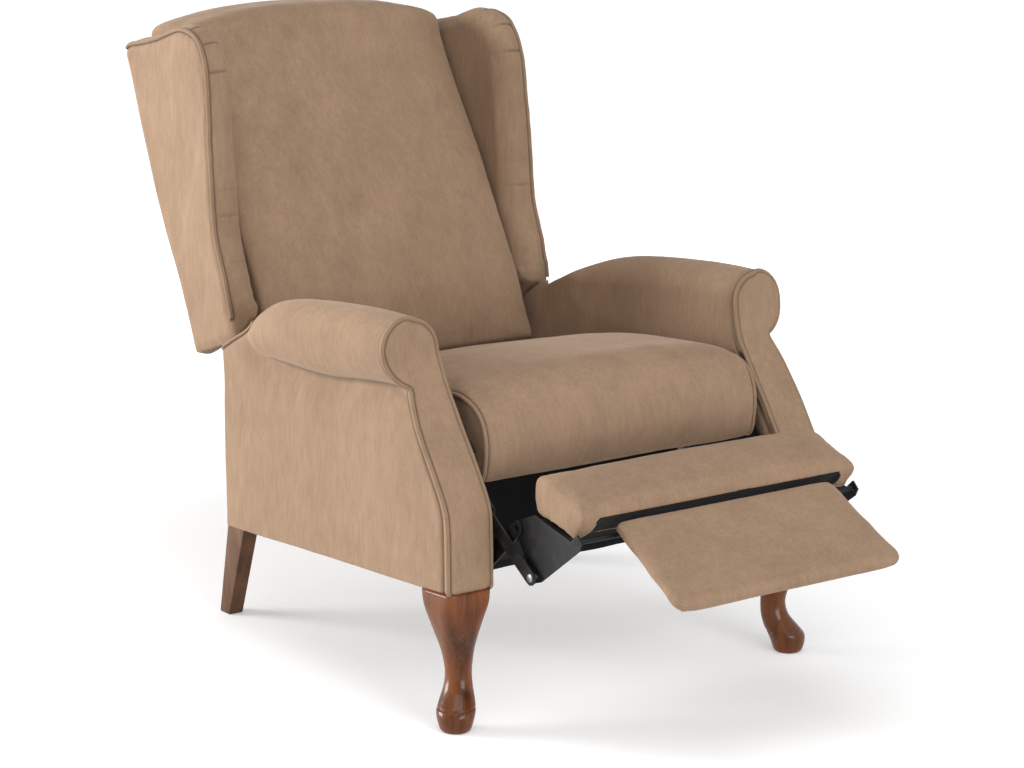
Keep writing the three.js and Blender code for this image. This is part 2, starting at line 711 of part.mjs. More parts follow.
/** A sinuous spring: one wire that swings from side to side along a run. */
function sinuous_spring(centre_at, across, steps_each) {
  const bends = [];
  const swings = spring_waves * 2;
  for (let i = 0; i <= swings; i++) {
    const way = i / swings;
    const side = i === 0 || i === swings ? 0 : (i % 2) * 2 - 1;
    bends.push(centre_at(way).addScaledVector(across, side * spring_swing));
  }
  const route = new THREE.CatmullRomCurve3(bends, false, "catmullrom", 0.5);
  const sides = 5;
  const section = new THREE.Shape(
    Array.from({ length: sides }, (unused, i) => {
      const angle = (i * 2 * Math.PI) / sides;
      return new THREE.Vector2(Math.cos(angle), Math.sin(angle)).multiplyScalar(spring_wire / 2);
    }),
  );
  const steps = swings * steps_each;
  return new THREE.ExtrudeGeometry(section, { steps, bevelEnabled: false, extrudePath: route });
}

/** Evenly spaced side places, centred on the chair. */
function spread(count, span) {
  return Array.from({ length: count }, (unused, i) => {
    return between(-span / 2, span / 2, count > 1 ? i / (count - 1) : 0.5);
  });
}

/** A closed cushion across the chair from its side outline: crowned in the middle, drawn in at its ends. */
function cushion(outline, half_width, crown, end_round) {
  const stations = [
    [half_width, -end_round, 0], [half_width - end_round * 0.3, -end_round * 0.35, 0],
    [half_width - end_round, 0, 0.06], [half_width * 0.72, 0, 0.55], [half_width * 0.38, 0, 0.9], [0, 0, 1],
  ];
  const mirrored = stations.slice(0, -1).map(([x, inset, swell]) => [-x, inset, swell]);
  const all = [...mirrored, ...stations.reverse()];
  const rings = all.map(([x, inset, swell]) => {
    const ring = offset_outline(outline, (p) => inset + p[2] * swell * crown(p));
    return ring.map(([forward, height]) => point(x, forward, height));
  });
  return loft(rings, side_view_cap);
}

/** A rail of the seat box between two forward places, leaning back as the box does. */
function seat_rail(x_from, x_to, rear, front) {
  const [rear_top, front_top] = [seat_box_top(rear), seat_box_top(front)];
  const outline = [
    [rear, rear_top - seat_rail_height], [front, front_top - seat_rail_height],
    [front, front_top], [rear, rear_top],
  ];
  return slab(outline, x_from, x_to);
}

/** The seat frame, its springs, plates and cushion. */
function add_seat(seat) {
  const inner = seat_rail_outer - seat_rail_width;
  const notch_front = back_hinge[0] + bracket_notch_run;
  [["left", -1], ["right", 1]].forEach(([hand, side]) => {
    const rail = seat_rail(
      side * inner, side * seat_rail_outer, seat_frame_rear + seat_rail_width + fit_gap,
      seat_frame_front - seat_rail_width - fit_gap,
    );
    const notch = block(
      side * bracket_layer, side * arm_inner, seat_frame_rear, notch_front, seat_plate_low - seat_rail_height,
      seat_rail_high,
    );
    add(seat, `seat_side_rail_${hand}`, cut(rail, notch), timber);
    add(seat, `seat_plate_${hand}`, seat_plate(side), black_steel);
  });
  const front_rail_rear = seat_frame_front - seat_rail_width;
  const front_rail = seat_rail(-seat_rail_outer, seat_rail_outer, front_rail_rear, seat_frame_front);
  add(seat, "seat_front_rail", front_rail, timber);
  const rear_rail_front = seat_frame_rear + seat_rail_width;
  const rear_rail = seat_rail(-bracket_layer, bracket_layer, seat_frame_rear, rear_rail_front);
  add(seat, "seat_rear_rail", rear_rail, timber);
  const tube_end = seat_rail_outer;
  const tube_rear = torque_tube_forward - torque_tube_radius;
  const tube_height = seat_box_top(tube_rear) - seat_rail_height - fit_gap - torque_tube_radius;
  cross_rod(seat, "torque_tube", [torque_tube_forward, tube_height], torque_tube_radius, -tube_end, tube_end,
    black_steel);
  const half_rail = seat_rail_width / 2;
  spread(seat_spring_count, seat_spring_span).forEach((x, i) => {
    const centre_at = (way) => {
      const forward = between(seat_frame_rear + half_rail, seat_frame_front - half_rail, way);
      return point(x, forward, seat_box_top(forward) + fit_gap + spring_wire / 2);
    };
    add(seat, `seat_spring_${i + 1}`, sinuous_spring(centre_at, new THREE.Vector3(1, 0, 0), 3), spring_steel);
  });
  const outline = fitted(seat_shares, seat_tail, seat_nose, seat_drop, seat_side_height);
  [outline[0], outline[outline.length - 1]].forEach((corner) => {
    corner[1] = seat_box_top(corner[0]) + spring_wire + 2 * fit_gap;
  });
  add(seat, "seat_cushion", cushion(outline, seat_half_width, () => seat_crown, seat_end_round), fabric);
}

// Footrest

/** A straight link with a hole at its far pivot and a pin at its near one, which runs to the given layer. */
function pinned_link(side, from, to, outer, pin_end) {
  const outline = link_outline(from, to, plate_edge);
  const strap = side_slab(outline, side, outer, plate_thickness, [[...to, pin_hole]]);
  return joined(strap, pin(from, pin_radius, side * (outer - plate_thickness / 2), side * pin_end));
}

/** The ottoman's underside as a line of [forward, height] from rear to front. */
function ottoman_underside(outline) {
  return [outline[0], outline[outline.length - 1]];
}

/** The bracket under each end of the ottoman, flanged under its board, from its links to the flipper. */
function ottoman_bracket(side, outline) {
  const [rear, front] = ottoman_underside(outline);
  const lowered = (at, drop) => [at[0], at[1] - drop];
  const shape = [
    [knee_pivot[0] - plate_edge, knee_pivot[1]], [knee_pivot[0] - plate_edge / 2, knee_pivot[1] - plate_edge],
    [knee_pivot[0] + plate_edge, knee_pivot[1] - plate_edge / 2],
    [flipper_pivot[0] + plate_edge / 2, flipper_pivot[1] - plate_edge],
    [flipper_pivot[0] + plate_edge, flipper_pivot[1]], [flipper_pivot[0], flipper_pivot[1] + plate_edge],
    lowered(front, fit_gap * 2), lowered(rear, fit_gap * 2),
    [guide_tip[0], guide_tip[1] + plate_edge], [guide_tip[0] - plate_edge, guide_tip[1]],
  ];
  const holes = [[...knee_pivot, pin_hole], [...flipper_pivot, flipper_rod_radius + hole_clearance]];
  const web = side_slab(shape, side, bracket_layer, plate_thickness, holes);
  const [inner, outer] = [rear, front].map((at, i) => {
    const share = (i === 0 ? 1 : -1) * (ottoman_board_inset / (front[0] - rear[0]));
    return [at[0] + share * (front[0] - rear[0]), at[1] + share * (front[1] - rear[1])];
  });
  const flange = [
    lowered(inner, fit_gap * 2), lowered(outer, fit_gap * 2),
    lowered(outer, fit_gap * 2 + plate_thickness), lowered(inner, fit_gap * 2 + plate_thickness),
  ];
  return joined(web, side_slab(flange, side, bracket_layer - plate_thickness / 2, ottoman_flange_width));
}

/** A board let into the underside of the ottoman, grown by a margin. */
function ottoman_board(outline, margin) {
  const [rear, front] = ottoman_underside(outline);
  const along = new THREE.Vector2(front[0] - rear[0], front[1] - rear[1]).normalize();
  const start = [rear[0] + along.x * ottoman_board_inset, rear[1] + along.y * ottoman_board_inset];
  const end = [front[0] - along.x * ottoman_board_inset, front[1] - along.y * ottoman_board_inset];
  const up = [-along.y * ottoman_board_thickness, along.x * ottoman_board_thickness];
  const board = [start, end, [end[0] + up[0], end[1] + up[1]], [start[0] + up[0], start[1] + up[1]]];
  const grown = margin > 0 ? offset_outline(board, () => margin * Math.SQRT2) : board;
  const half = ottoman_half_width - ottoman_board_inset + margin;
  return slab(grown, -half, half);
}

/** A rounded bar-like ring across the flipper at a distance along it. */
function flipper_ring(along, half_width, thickness) {
  const sides = 20;
  const rounded = (value, power) => Math.sign(value) * Math.abs(value) ** power;
  return Array.from({ length: sides }, (unused, i) => {
    const angle = ((i + 0.5) * 2 * Math.PI) / sides;
    const across = half_width * rounded(Math.cos(angle), 0.22);
    const rise = (thickness / 2) * rounded(Math.sin(angle), 0.5) - flipper_thickness / 2;
    return new THREE.Vector3(across, -along, rise);
  });
}

/** The flipper's pad, lying along its own slope from its rear upper edge. */
function flipper_pad(cavity) {
  const stations = [
    [0, 0.94, 0.5], [0.025, 0.995, 0.9], [0.1, 1, 1], [0.5, 1, 1.06], [0.9, 1, 1], [0.975, 0.995, 0.9],
    [1, 0.94, 0.5],
  ];
  const rings = stations.map(([way, width, thickness]) => {
    const half = between(flipper_rear_half_width, flipper_front_half_width, way) * width;
    return flipper_ring(way * flipper_length, half, flipper_thickness * thickness);
  });
  return cut(loft(rings, banded_cap), cavity);
}

/** A plain board under the flipper in the flipper's own frame, grown by a margin and deepened downwards. */
function flipper_board(margin, depth) {
  const inset = flipper_board_inset - margin;
  const rear = flipper_rear_half_width - inset;
  const front = flipper_front_half_width - inset;
  const top = flipper_board_thickness - flipper_thickness + margin;
  const ring = (height) => {
    return [[-rear, inset], [rear, inset], [front, flipper_length - inset], [-front, flipper_length - inset]].map(
      ([x, along]) => new THREE.Vector3(x, -along, height),
    );
  };
  return loft([ring(-flipper_thickness - depth), ring(top)], top_view_cap);
}

/** A hinge strap under the flipper's board that wraps its rod, in the flipper's own frame. */
function flipper_hinge(x) {
  const slope = THREE.MathUtils.degToRad(flipper_slope_deg);
  const to_pivot = new THREE.Vector2(flipper_pivot[0] - flipper_start[0], flipper_pivot[1] - flipper_start[1]);
  to_pivot.rotateAround(new THREE.Vector2(), slope);
  const eye = flipper_rod_radius + hole_clearance + plate_thickness * 0.9;
  const top = -flipper_thickness - fit_gap;
  const round_eye = [];
  for (let i = 0; i <= 4; i++) {
    const angle = Math.PI * (0.75 + i / 4);
    round_eye.push([to_pivot.x + eye * Math.cos(angle), to_pivot.y + eye * Math.sin(angle)]);
  }
  const low = top - plate_thickness;
  const outline = [
    [flipper_hinge_reach, top], [to_pivot.x, top], ...round_eye,
    [to_pivot.x + 2 * eye, low], [flipper_hinge_reach, low],
  ];
  const hole = [to_pivot.x, to_pivot.y, flipper_rod_radius + hole_clearance];
  return slab(outline, x - flipper_hinge_width / 2, x + flipper_hinge_width / 2, [hole]);
}

/** The footrest: its four links, brackets, ottoman and flipper. */
function add_footrest(footrest) {
  const outline = fitted(ottoman_shares, ottoman_rear, ottoman_nose, ottoman_low, ottoman_high);
  const deep_cut = ottoman_board(outline, fit_gap).translate(0, 0, -ottoman_board_thickness / 2);
  const pad = cushion(outline, ottoman_half_width, () => ottoman_crown, ottoman_end_round);
  add(footrest, "ottoman_pad", cut(pad, ottoman_board(outline, fit_gap), deep_cut), fabric);
  add(footrest, "ottoman_board", ottoman_board(outline, 0), timber);
  [["left", -1], ["right", 1]].forEach(([hand, side]) => {
    const drive_link = pinned_link(side, drive_pivot, knee_pivot, swing_layer, seat_layer - plate_thickness);
    add(footrest, `drive_link_${hand}`, drive_link, black_steel);
    const guide_link = pinned_link(side, guide_pivot, guide_tip, guide_layer, seat_layer);
    add(footrest, `guide_link_${hand}`, guide_link, black_steel);
    add(footrest, `ottoman_bracket_${hand}`, ottoman_bracket(side, outline), black_steel);
    const knee_end = side * (bracket_layer - plate_thickness);
    const pin_name = `knee_pin_${hand}`;
    cross_rod(footrest, pin_name, knee_pivot, pin_radius, knee_end, side * swing_layer, spring_steel);
  });
  const rod_end = bracket_layer;
  cross_rod(footrest, "flipper_rod", flipper_pivot, flipper_rod_radius, -rod_end, rod_end, black_steel);
  const flipper = new THREE.Group();
  flipper.position.copy(point(0, flipper_start[0], flipper_start[1]));
  flipper.rotation.x = THREE.MathUtils.degToRad(flipper_slope_deg);
  footrest.add(flipper);
  add(flipper, "flipper_pad", flipper_pad(flipper_board(fit_gap, flipper_thickness)), fabric);
  add(flipper, "flipper_board", flipper_board(0, 0), timber);
  spread(2, flipper_hinge_spread).forEach((x, i) => {
    add(flipper, `flipper_hinge_${["left", "right"][i]}`, flipper_hinge(x), black_steel);
  });
}

// Back

/** The forward place of the back frame's rear face at a height. */
function back_frame_rear(height) {
  const way = (height - back_frame_foot) / (back_frame_head - back_frame_foot);
  return between(back_frame_rear_foot, back_frame_rear_head, way);
}

/** A leaning bar of the back frame between two heights. */
function frame_bar(x_from, x_to, low, high) {
  const foot = back_frame_rear(low);
  const head = back_frame_rear(high);
  const outline = [
    [foot, low], [foot + back_frame_depth, low], [head + back_frame_depth, high], [head, high],
  ];
  return slab(outline, x_from, x_to);
}

/** The padded wing at one side: a bowed panel with a crowned edge. */
function wing(side) {
  const outline = fitted(wing_shares, wing_rear, wing_front, wing_low, wing_high);
  const depth_at = (p) => (p[0] - wing_rear) / (wing_front - wing_rear);
  const rings = wing_layer_shares.map(([way, hem, crown, front]) => {
    const grow = (p) => hem * wing_hem + crown * wing_crown + front * wing_front_round * depth_at(p);
    return offset_outline(outline, grow).map(([forward, height], i) => {
      const [depth, rise] = wing_shares[i];
      const bow = wing_flare * Math.sin(Math.PI * rise) * Math.max(0, depth) ** 2;
      return point(side * between(wing_inner, wing_outer + bow, way), forward, height);
    });
  });
  return loft(rings, side_view_cap);
}

/** The back cushion's side outline: swelling front, top rolled over the frame, flat rear. */
function back_outline() {
  const front = fitted(back_front_shares, back_front_foot, back_front_head, back_foot, back_head);
  const top = back_top_shares.map(([depth, drop, swell]) => {
    const forward = between(back_front_head, back_rear_head, depth);
    return [forward, between(back_head, back_lip - plate_edge, drop), swell];
  });
  const rear_at = (height) => back_frame_rear(height) + back_frame_depth + back_spring_room;
  const foot = back_foot + plate_edge;
  const rear = [[rear_at(back_lip), back_lip, 0], [rear_at(foot), foot, 0]];
  top[top.length - 1][1] = back_lip;
  return [...front, ...top, ...rear];
}

/** The bracket that hangs the back on the seat plates. */
function back_bracket(side) {
  const [hinge_x, hinge_z] = back_hinge;
  const low = back_frame_foot + plate_edge / 2;
  const high = low + 6 * plate_edge;
  const boss = plate_edge + plate_thickness;
  const outline = [
    [hinge_x + boss, hinge_z + boss / 4], [hinge_x + boss / 2, hinge_z - boss], [hinge_x - boss, hinge_z - boss],
    [back_frame_rear(low) + plate_edge, low], [back_frame_rear(high) + plate_edge, high],
    [back_frame_rear(high) + back_frame_depth, high], [back_frame_rear(low) + back_frame_depth, low + plate_edge],
    [hinge_x + boss / 4, hinge_z + boss],
  ];
  return side_slab(outline, side, guide_layer, plate_thickness, [[...back_hinge, pin_hole]]);
}

/** The back: its timber frame, springs, cushion, outside panel, wings and brackets. */
function add_back(back) {
  const stile_outer = guide_layer - plate_thickness - fit_gap;
  const stile_inner = stile_outer - stile_width;
  const rail_end = stile_inner - fit_gap;
  [["left", -1], ["right", 1]].forEach(([hand, side]) => {
    const stile = frame_bar(side * stile_inner, side * stile_outer, back_frame_foot, back_frame_head);
    add(back, `back_stile_${hand}`, stile, timber);
    add(back, `wing_${hand}`, wing(side), fabric);
    add(back, `back_bracket_${hand}`, back_bracket(side), black_steel);
    const pin_end = side * (guide_layer - plate_thickness);
    cross_rod(back, `back_pin_${hand}`, back_hinge, pin_radius, pin_end, side * seat_layer, spring_steel);
  });
  const bottom = frame_bar(-rail_end, rail_end, back_frame_foot, back_frame_foot + back_rail_height);
  const top = frame_bar(-rail_end, rail_end, back_frame_head - back_rail_height, back_frame_head);
  add(back, "back_bottom_rail", bottom, timber);
  add(back, "back_top_rail", top, timber);
  const spring_off = back_frame_depth + fit_gap + spring_wire / 2 + plate_gap;
  spread(back_spring_count, back_spring_span).forEach((x, i) => {
    const half_rail = back_rail_height / 2;
    const centre_at = (way) => {
      const height = between(back_frame_foot + half_rail, back_frame_head - half_rail, way);
      return point(x, back_frame_rear(height) + spring_off, height);
    };
    add(back, `back_spring_${i + 1}`, sinuous_spring(centre_at, new THREE.Vector3(1, 0, 0), 3), spring_steel);
  });
  const crown = ([, height]) => {
    return between(back_crown, back_top_crown, Math.max(0, (height - back_foot) / (back_head - back_foot)));
  };
  add(back, "back_cushion", cushion(back_outline(), back_half_width, crown, back_end_round), fabric);
  const outside_high = back_lip - fit_gap;
  const outer_line = outside_back_shares.map(([depth, rise]) => {
    const forward = between(wing_rear, between(wing_rear, wing_front, wing_shares[24][0]), 1 - depth);
    return [forward, between(wing_low, outside_high, rise)];
  });
  const inner_line = [outside_high, wing_low].map((height) => [back_frame_rear(height) - fit_gap, height]);
  const outside = slab([...outer_line, ...inner_line], -back_half_width, back_half_width);
  add(back, "outside_back_panel", outside, fabric);
}

// The chair, built from its sub-assemblies and centred front to back

const chair = new THREE.Group();
const [base, swings, seat, footrest, back] = Array.from({ length: 5 }, () => {
  const group = new THREE.Group();
  chair.add(group);
  return group;
});
add_arms(base);
add_legs(base);
add_base_steel(base, swings);
add_seat(seat);
add_footrest(footrest);
add_back(back);
chair.updateMatrixWorld(true);
const middle = new THREE.Box3().setFromObject(chair, true).getCenter(new THREE.Vector3());
chair.children.forEach((group) => {
  group.position.y = -middle.y;
});

export default chair;
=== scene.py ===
"""Looks of a wingback push-back recliner with its footrest out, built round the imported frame.

Sizes, flat outlines and sections are in millimetres, and points in space are in metres, unless said
otherwise. A flat point is a forward place and a height, and a section's is a side place and a height.
"""

import logging
import math
from dataclasses import dataclass
from enum import Enum
from typing import Any, Callable, Optional, Sequence

import bmesh
import bpy
import numpy as np
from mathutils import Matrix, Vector, noise
from mathutils.bvhtree import BVHTree
from mathutils.kdtree import KDTree


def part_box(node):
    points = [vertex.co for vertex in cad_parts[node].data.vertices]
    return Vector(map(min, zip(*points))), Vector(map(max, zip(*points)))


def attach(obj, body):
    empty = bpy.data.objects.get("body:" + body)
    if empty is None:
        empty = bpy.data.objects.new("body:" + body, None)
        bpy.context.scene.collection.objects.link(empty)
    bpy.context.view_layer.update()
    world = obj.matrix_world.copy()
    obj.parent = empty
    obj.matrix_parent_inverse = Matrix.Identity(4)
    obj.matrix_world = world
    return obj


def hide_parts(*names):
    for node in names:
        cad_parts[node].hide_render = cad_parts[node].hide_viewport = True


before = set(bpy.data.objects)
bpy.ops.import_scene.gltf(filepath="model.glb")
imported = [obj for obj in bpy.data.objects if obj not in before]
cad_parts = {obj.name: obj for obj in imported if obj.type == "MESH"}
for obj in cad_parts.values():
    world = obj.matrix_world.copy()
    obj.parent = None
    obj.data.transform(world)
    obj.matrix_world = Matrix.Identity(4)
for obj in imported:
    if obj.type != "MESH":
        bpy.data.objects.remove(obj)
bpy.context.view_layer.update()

logging.basicConfig(level=logging.INFO, format="%(message)s")
LOG = logging.getLogger("recliner")

MM = 0.001
MERGE = 1e-6
TINY = 1e-9
ROD_FORWARD = 500.0
# How far from a piping cord the painted seam shade reaches, and how wide its fade is.
SEAM_SHADE_REACH = 6.6
SEAM_SHADE_FADE = 2.6
Table = Sequence[Sequence[float]]
Triple = tuple[float, float, float]


class Side(Enum):
    """A side of the chair, with the sign of its side place."""

    LEFT = -1
    RIGHT = 1

    @property
    def word(self) -> str:
        """The side's word in the node names."""
        return self.name.lower()


class Slot(Enum):
    """The record's material slots, named with each added piece but not stored on it."""

    UPHOLSTERY = "upholstery"
    FRONT_LEG = "front_leg_wood"
    REAR_LEG = "rear_leg_wood"
    SPRING = "spring_steel"


def centring() -> float:
    """How far the chair's own front-to-back places are moved to centre it."""
    low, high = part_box("flipper_rod")
    return (low.y + high.y) / 2 / MM + ROD_FORWARD


SHIFT = centring()


# Lines, rings and skins


def spot(x: Any, forward: Any, height: Any) -> np.ndarray:
    """Points in the shared frame, from places along the chair's own axes.

    Args:
        x: The side place, or an array of them.
        forward: The forward place or places.
        height: The height or heights.

    Returns:
        The points in metres, one a row.
    """
    x, forward, height = np.broadcast_arrays(np.asarray(x, float), forward, height)
    return np.stack([x, SHIFT - forward, height], axis=-1) * MM


def between(low: Any, high: Any, share: Any) -> Any:
    """The value a share of the way from one size to another."""
    return low + (high - low) * share


def signed_power(value: Any, power: float) -> Any:
    """A value raised to a power, with its sign kept."""
    return np.sign(value) * np.abs(value) ** power


def smoothly(share: Any) -> Any:
    """A share from 0 to 1, eased at both ends."""
    return share**2 * (3 - 2 * share)


def read_table(table: Table, place: Any, column: int = 1) -> Any:
    """A table's value at a place, on straight lines between its rows.

    Args:
        table: The table, whose first column holds the places.
        place: The place or places.
        column: The column that is read.

    Returns:
        The value at each place.
    """
    rows = np.asarray(table, float)
    return np.interp(place, rows[:, 0], rows[:, column])


def curve_through(points: Any, per_span: int) -> np.ndarray:
    """A smooth line through points.

    Args:
        points: The points, one a row, of any number of columns.
        per_span: The steps from each point to the next.

    Returns:
        The line's points, one a row.
    """
    p = np.asarray(points, float)
    p = np.vstack([2 * p[:1] - p[1:2], p, 2 * p[-1:] - p[-2:-1]])
    t = np.linspace(0, 1, per_span, endpoint=False)[:, None]
    spans = []
    for a, b, c, d in zip(p[:-3], p[1:-2], p[2:-1], p[3:]):
        square, cube = 2 * a - 5 * b + 4 * c - d, 3 * b - a - 3 * c + d
        spans.append(0.5 * (2 * b + (c - a) * t + square * t**2 + cube * t**3))
    return np.vstack([*spans, p[-2:-1]])


def evenly(points: np.ndarray, count: int, closed: bool = False) -> np.ndarray:
    """A line's points laid again at equal distances.

    Args:
        points: The line.
        count: How many points it gets.
        closed: Whether the line runs back to its first point.

    Returns:
        The new points.
    """
    p = np.vstack([points, points[:1]]) if closed else points
    run = np.concatenate([[0], np.cumsum(np.linalg.norm(np.diff(p, axis=0), axis=1))])
    want = np.linspace(0, run[-1], count, endpoint=not closed)
    return np.stack([np.interp(want, run, p[:, k]) for k in range(p.shape[1])], axis=1)


def outward(outline: np.ndarray) -> np.ndarray:
    """The directions out of a flat closed outline.

    Args:
        outline: The outline's points, one a row.

    Returns:
        A unit vector for each point.
    """
    ahead, behind = np.roll(outline, -1, 0), np.roll(outline, 1, 0)
    along = ahead - behind
    along /= np.maximum(np.linalg.norm(along, axis=1, keepdims=True), TINY)
    area = np.sum(outline[:, 0] * ahead[:, 1] - ahead[:, 0] * outline[:, 1])
    return np.stack([along[:, 1], -along[:, 0]], axis=1) * np.sign(area)


def fitted(shares: Table, rear: float, front: float, low: float, high: float) -> np.ndarray:
    """Outline shares laid into a box.

    Args:
        shares: Rows of depth share, height share and a third value, which is kept.
        rear: The box's rear.
        front: The box's front.
        low: The box's foot.
        high: The box's head.

    Returns:
        The rows as forward place, height and the third value.
    """
    rows = np.asarray(shares, float)
    return np.stack([between(rear, front, rows[:, 0]), between(low, high, rows[:, 1]), rows[:, 2]], axis=1)


def make_object(name: str, verts: Any, faces: Sequence[Any], edges: Sequence[Any] = ()) -> Any:
    """A new smooth-shaded object at the origin.

    Args:
        name: Its name.
        verts: Its points.
        faces: Its faces, each a row of point numbers.
        edges: Its loose edges, each a pair of point numbers.

    Returns:
        The new object.
    """
    mesh = bpy.data.meshes.new(name)
    mesh.from_pydata([tuple(v) for v in verts], list(edges), [tuple(int(i) for i in f) for f in faces])
    mesh.validate()
    mesh.shade_smooth()
    piece = bpy.data.objects.new(name, mesh)
    bpy.context.scene.collection.objects.link(piece)
    return piece


def tidy(piece: Any) -> Any:
    """Merges a piece's doubled points and turns all its faces outwards.

    Args:
        piece: A piece with a closed mesh.

    Returns:
        The same piece.
    """
    bm = bmesh.new()
    bm.from_mesh(piece.data)
    bmesh.ops.remove_doubles(bm, verts=bm.verts, dist=MERGE)
    bmesh.ops.recalc_face_normals(bm, faces=bm.faces)
    bm.to_mesh(piece.data)
    bm.free()
    piece.data.shade_smooth()
    return piece


def skin(name: str, rings: Any, paired: int = 2) -> Any:
    """A closed skin over rings of equally many points.

    Args:
        name: The piece's name.
        rings: The rings, as an array of ring, point and place.
        paired: How many of a ring's first points face one another, so that its end is closed in bands.

    Returns:
        The new object.
    """
    rings = np.asarray(rings, float)
    count, size = rings.shape[:2]
    faces = []
    for ring in range(count - 1):
        base, above = ring * size, (ring + 1) * size
        for i in range(size):
            j = (i + 1) % size
            faces.append((base + i, base + j, above + j, above + i))
    for base in (0, (count - 1) * size):
        far = paired - 1
        for i in range(paired // 2 - 1):
            faces.append((base + i, base + i + 1, base + far - i - 1, base + far - i))
        if size > paired or paired == 2:
            faces.append((base, *range(base + far, base + size)))
    return tidy(make_object(name, rings.reshape(-1, 3), faces))


def settle(piece: Any) -> Any:
    """Turns a piece and its modifiers into a plain mesh.

    Args:
        piece: The piece, with live modifiers.

    Returns:
        The same piece, with none.
    """
    bpy.context.view_layer.update()
    shown = piece.evaluated_get(bpy.context.evaluated_depsgraph_get())
    made = bpy.data.meshes.new_from_object(shown)
    piece.modifiers.clear()
    old, piece.data = piece.data, made
    bpy.data.meshes.remove(old)
    piece.data.name = piece.name
    piece.data.shade_smooth()
    return piece


def places(piece: Any, what: str = "co") -> np.ndarray:
    """What a piece's vertices hold, which is their places unless another vector is named.

    Args:
        piece: The piece.
        what: The vector that is read, co for places or normal.

    Returns:
        The vectors, one a row.
    """
    flat = np.zeros(len(piece.data.vertices) * 3)
    piece.data.vertices.foreach_get(what, flat)
    return flat.reshape(-1, 3)


def set_places(piece: Any, spots: np.ndarray) -> None:
    """Moves a piece's vertices to the given places."""
    piece.data.vertices.foreach_set("co", np.ascontiguousarray(spots, float).ravel())
    piece.data.update()


def mirrored(piece: Any, name: str) -> Any:
    """A mirror image of a piece across the chair's middle plane.

    Args:
        piece: The left piece.
        name: The right piece's name.

    Returns:
        The right piece, which carries none of the left one's custom properties.
    """
    twin = piece.copy()
    twin.data = piece.data.copy()
    twin.name = twin.data.name = name
    for key in list(twin.keys()):
        del twin[key]
    bpy.context.scene.collection.objects.link(twin)
    spots = places(twin)
    spots[:, 0] *= -1
    set_places(twin, spots)
    twin.data.flip_normals()
    twin.data.shade_smooth()
    return twin


def thickened(piece: Any, thick: float, way: float) -> Any:
    """Gives a single layer a thickness.

    Args:
        piece: The layer.
        thick: Its thickness.
        way: The side that it grows to, 1 along its normals or -1 against them.

    Returns:
        The same piece, closed.
    """
    modifier = piece.modifiers.new("thickness", "SOLIDIFY")
    modifier.thickness, modifier.offset = thick * MM, way
    return tidy(settle(piece))


def subdivide(piece: Any) -> Any:
    """Rounds a piece with one level of subdivision, the same in view and in render.

    Args:
        piece: The piece.

    Returns:
        The same piece, with its finer mesh.
    """
    modifier = piece.modifiers.new("rounding", "SUBSURF")
    modifier.levels = modifier.render_levels = 1
    return settle(piece)


# Fabric over stuffing


@dataclass(frozen=True)
class Stuffing:
    """How a cover is filled: its mesh, its pressure, how far it may swell, and its cloth."""

    voxel: float
    smoothing: int
    pressure: float = 0.0
    swell: float = 0.0
    frames: int = 18
    mass: float = 0.3
    stretch: float = 12.0
    bend: float = 0.6

    def cover(self, piece: Any) -> Any:
        """Gives a piece an even mesh, rounded at its edges.

        Args:
            piece: A closed piece.

        Returns:
            The same piece.
        """
        remesh = piece.modifiers.new("even_mesh", "REMESH")
        remesh.mode = "VOXEL"
        remesh.voxel_size = self.voxel * MM
        smooth = piece.modifiers.new("soft_edges", "SMOOTH")
        smooth.factor, smooth.iterations = 0.5, self.smoothing
        return settle(piece)

    def fill(self, piece: Any) -> Any:
        """Swells a piece as stuffed cloth and keeps every point within the swell.

        Args:
            piece: A closed piece with an even mesh.

        Returns:
            The same piece, with its final mesh.
        """
        start = places(piece)
        if self.pressure > 0:
            cloth = piece.modifiers.new("cloth", "CLOTH")
            fabric = cloth.settings
            fabric.quality, fabric.mass = 4, self.mass
            fabric.tension_stiffness = fabric.compression_stiffness = self.stretch
            fabric.bending_stiffness = self.bend
            fabric.use_pressure = True
            fabric.uniform_pressure_force = self.pressure
            fabric.effector_weights.gravity = 0
            cloth.collision_settings.use_collision = False
            scene = bpy.context.scene
            for step in range(1, self.frames + 1):
                scene.frame_set(step)
            shown = piece.evaluated_get(bpy.context.evaluated_depsgraph_get())
            end = np.array([v.co for v in shown.data.vertices])
            piece.modifiers.clear()
            scene.frame_set(1)
            moved = end - start
            far = np.linalg.norm(moved, axis=1, keepdims=True)
            limit = self.swell * MM
            moved *= np.where(far > limit, limit / np.maximum(far, TINY), 1.0)
            set_places(piece, start + moved)
        return piece


def ripple(piece: Any, height: Callable[[np.ndarray, np.ndarray], np.ndarray]) -> Any:
    """Moves a piece's surface along its normals.

    Args:
        piece: The piece.
        height: Gives the move in millimetres from the places in millimetres and the normals.

    Returns:
        The same piece.
    """
    spots, out = places(piece), places(piece, "normal")
    set_places(piece, spots + out * (height(spots / MM, out) * MM)[:, None])
    piece.data.shade_smooth()
    return piece


def cloud(spots: np.ndarray, size: float, seed: int) -> np.ndarray:
    """Smooth noise at places.

    Args:
        spots: The places, in millimetres.
        size: The size of its swells.
        seed: Which noise it is.

    Returns:
        A value from -1 to 1 for each place.
    """
    off = Vector((seed * 7.31, seed * 3.17, seed * 5.77))
    return np.array([noise.noise(Vector(p) / size + off) for p in spots])


def soft_dents(piece: Any, amount: float, size: float, seed: int) -> Any:
    """Adds the slight unevenness of padding under cloth.

    Args:
        piece: The cover.
        amount: How deep the dents are.
        size: How wide they are.
        seed: Which noise they follow.

    Returns:
        The same cover.
    """

    def dents(p: np.ndarray, n: np.ndarray) -> np.ndarray:
        """Broad dents with finer ones on them."""
        return amount * (cloud(p, size, seed) + 0.4 * cloud(p, size / 3, seed + 5))

    return ripple(piece, dents)


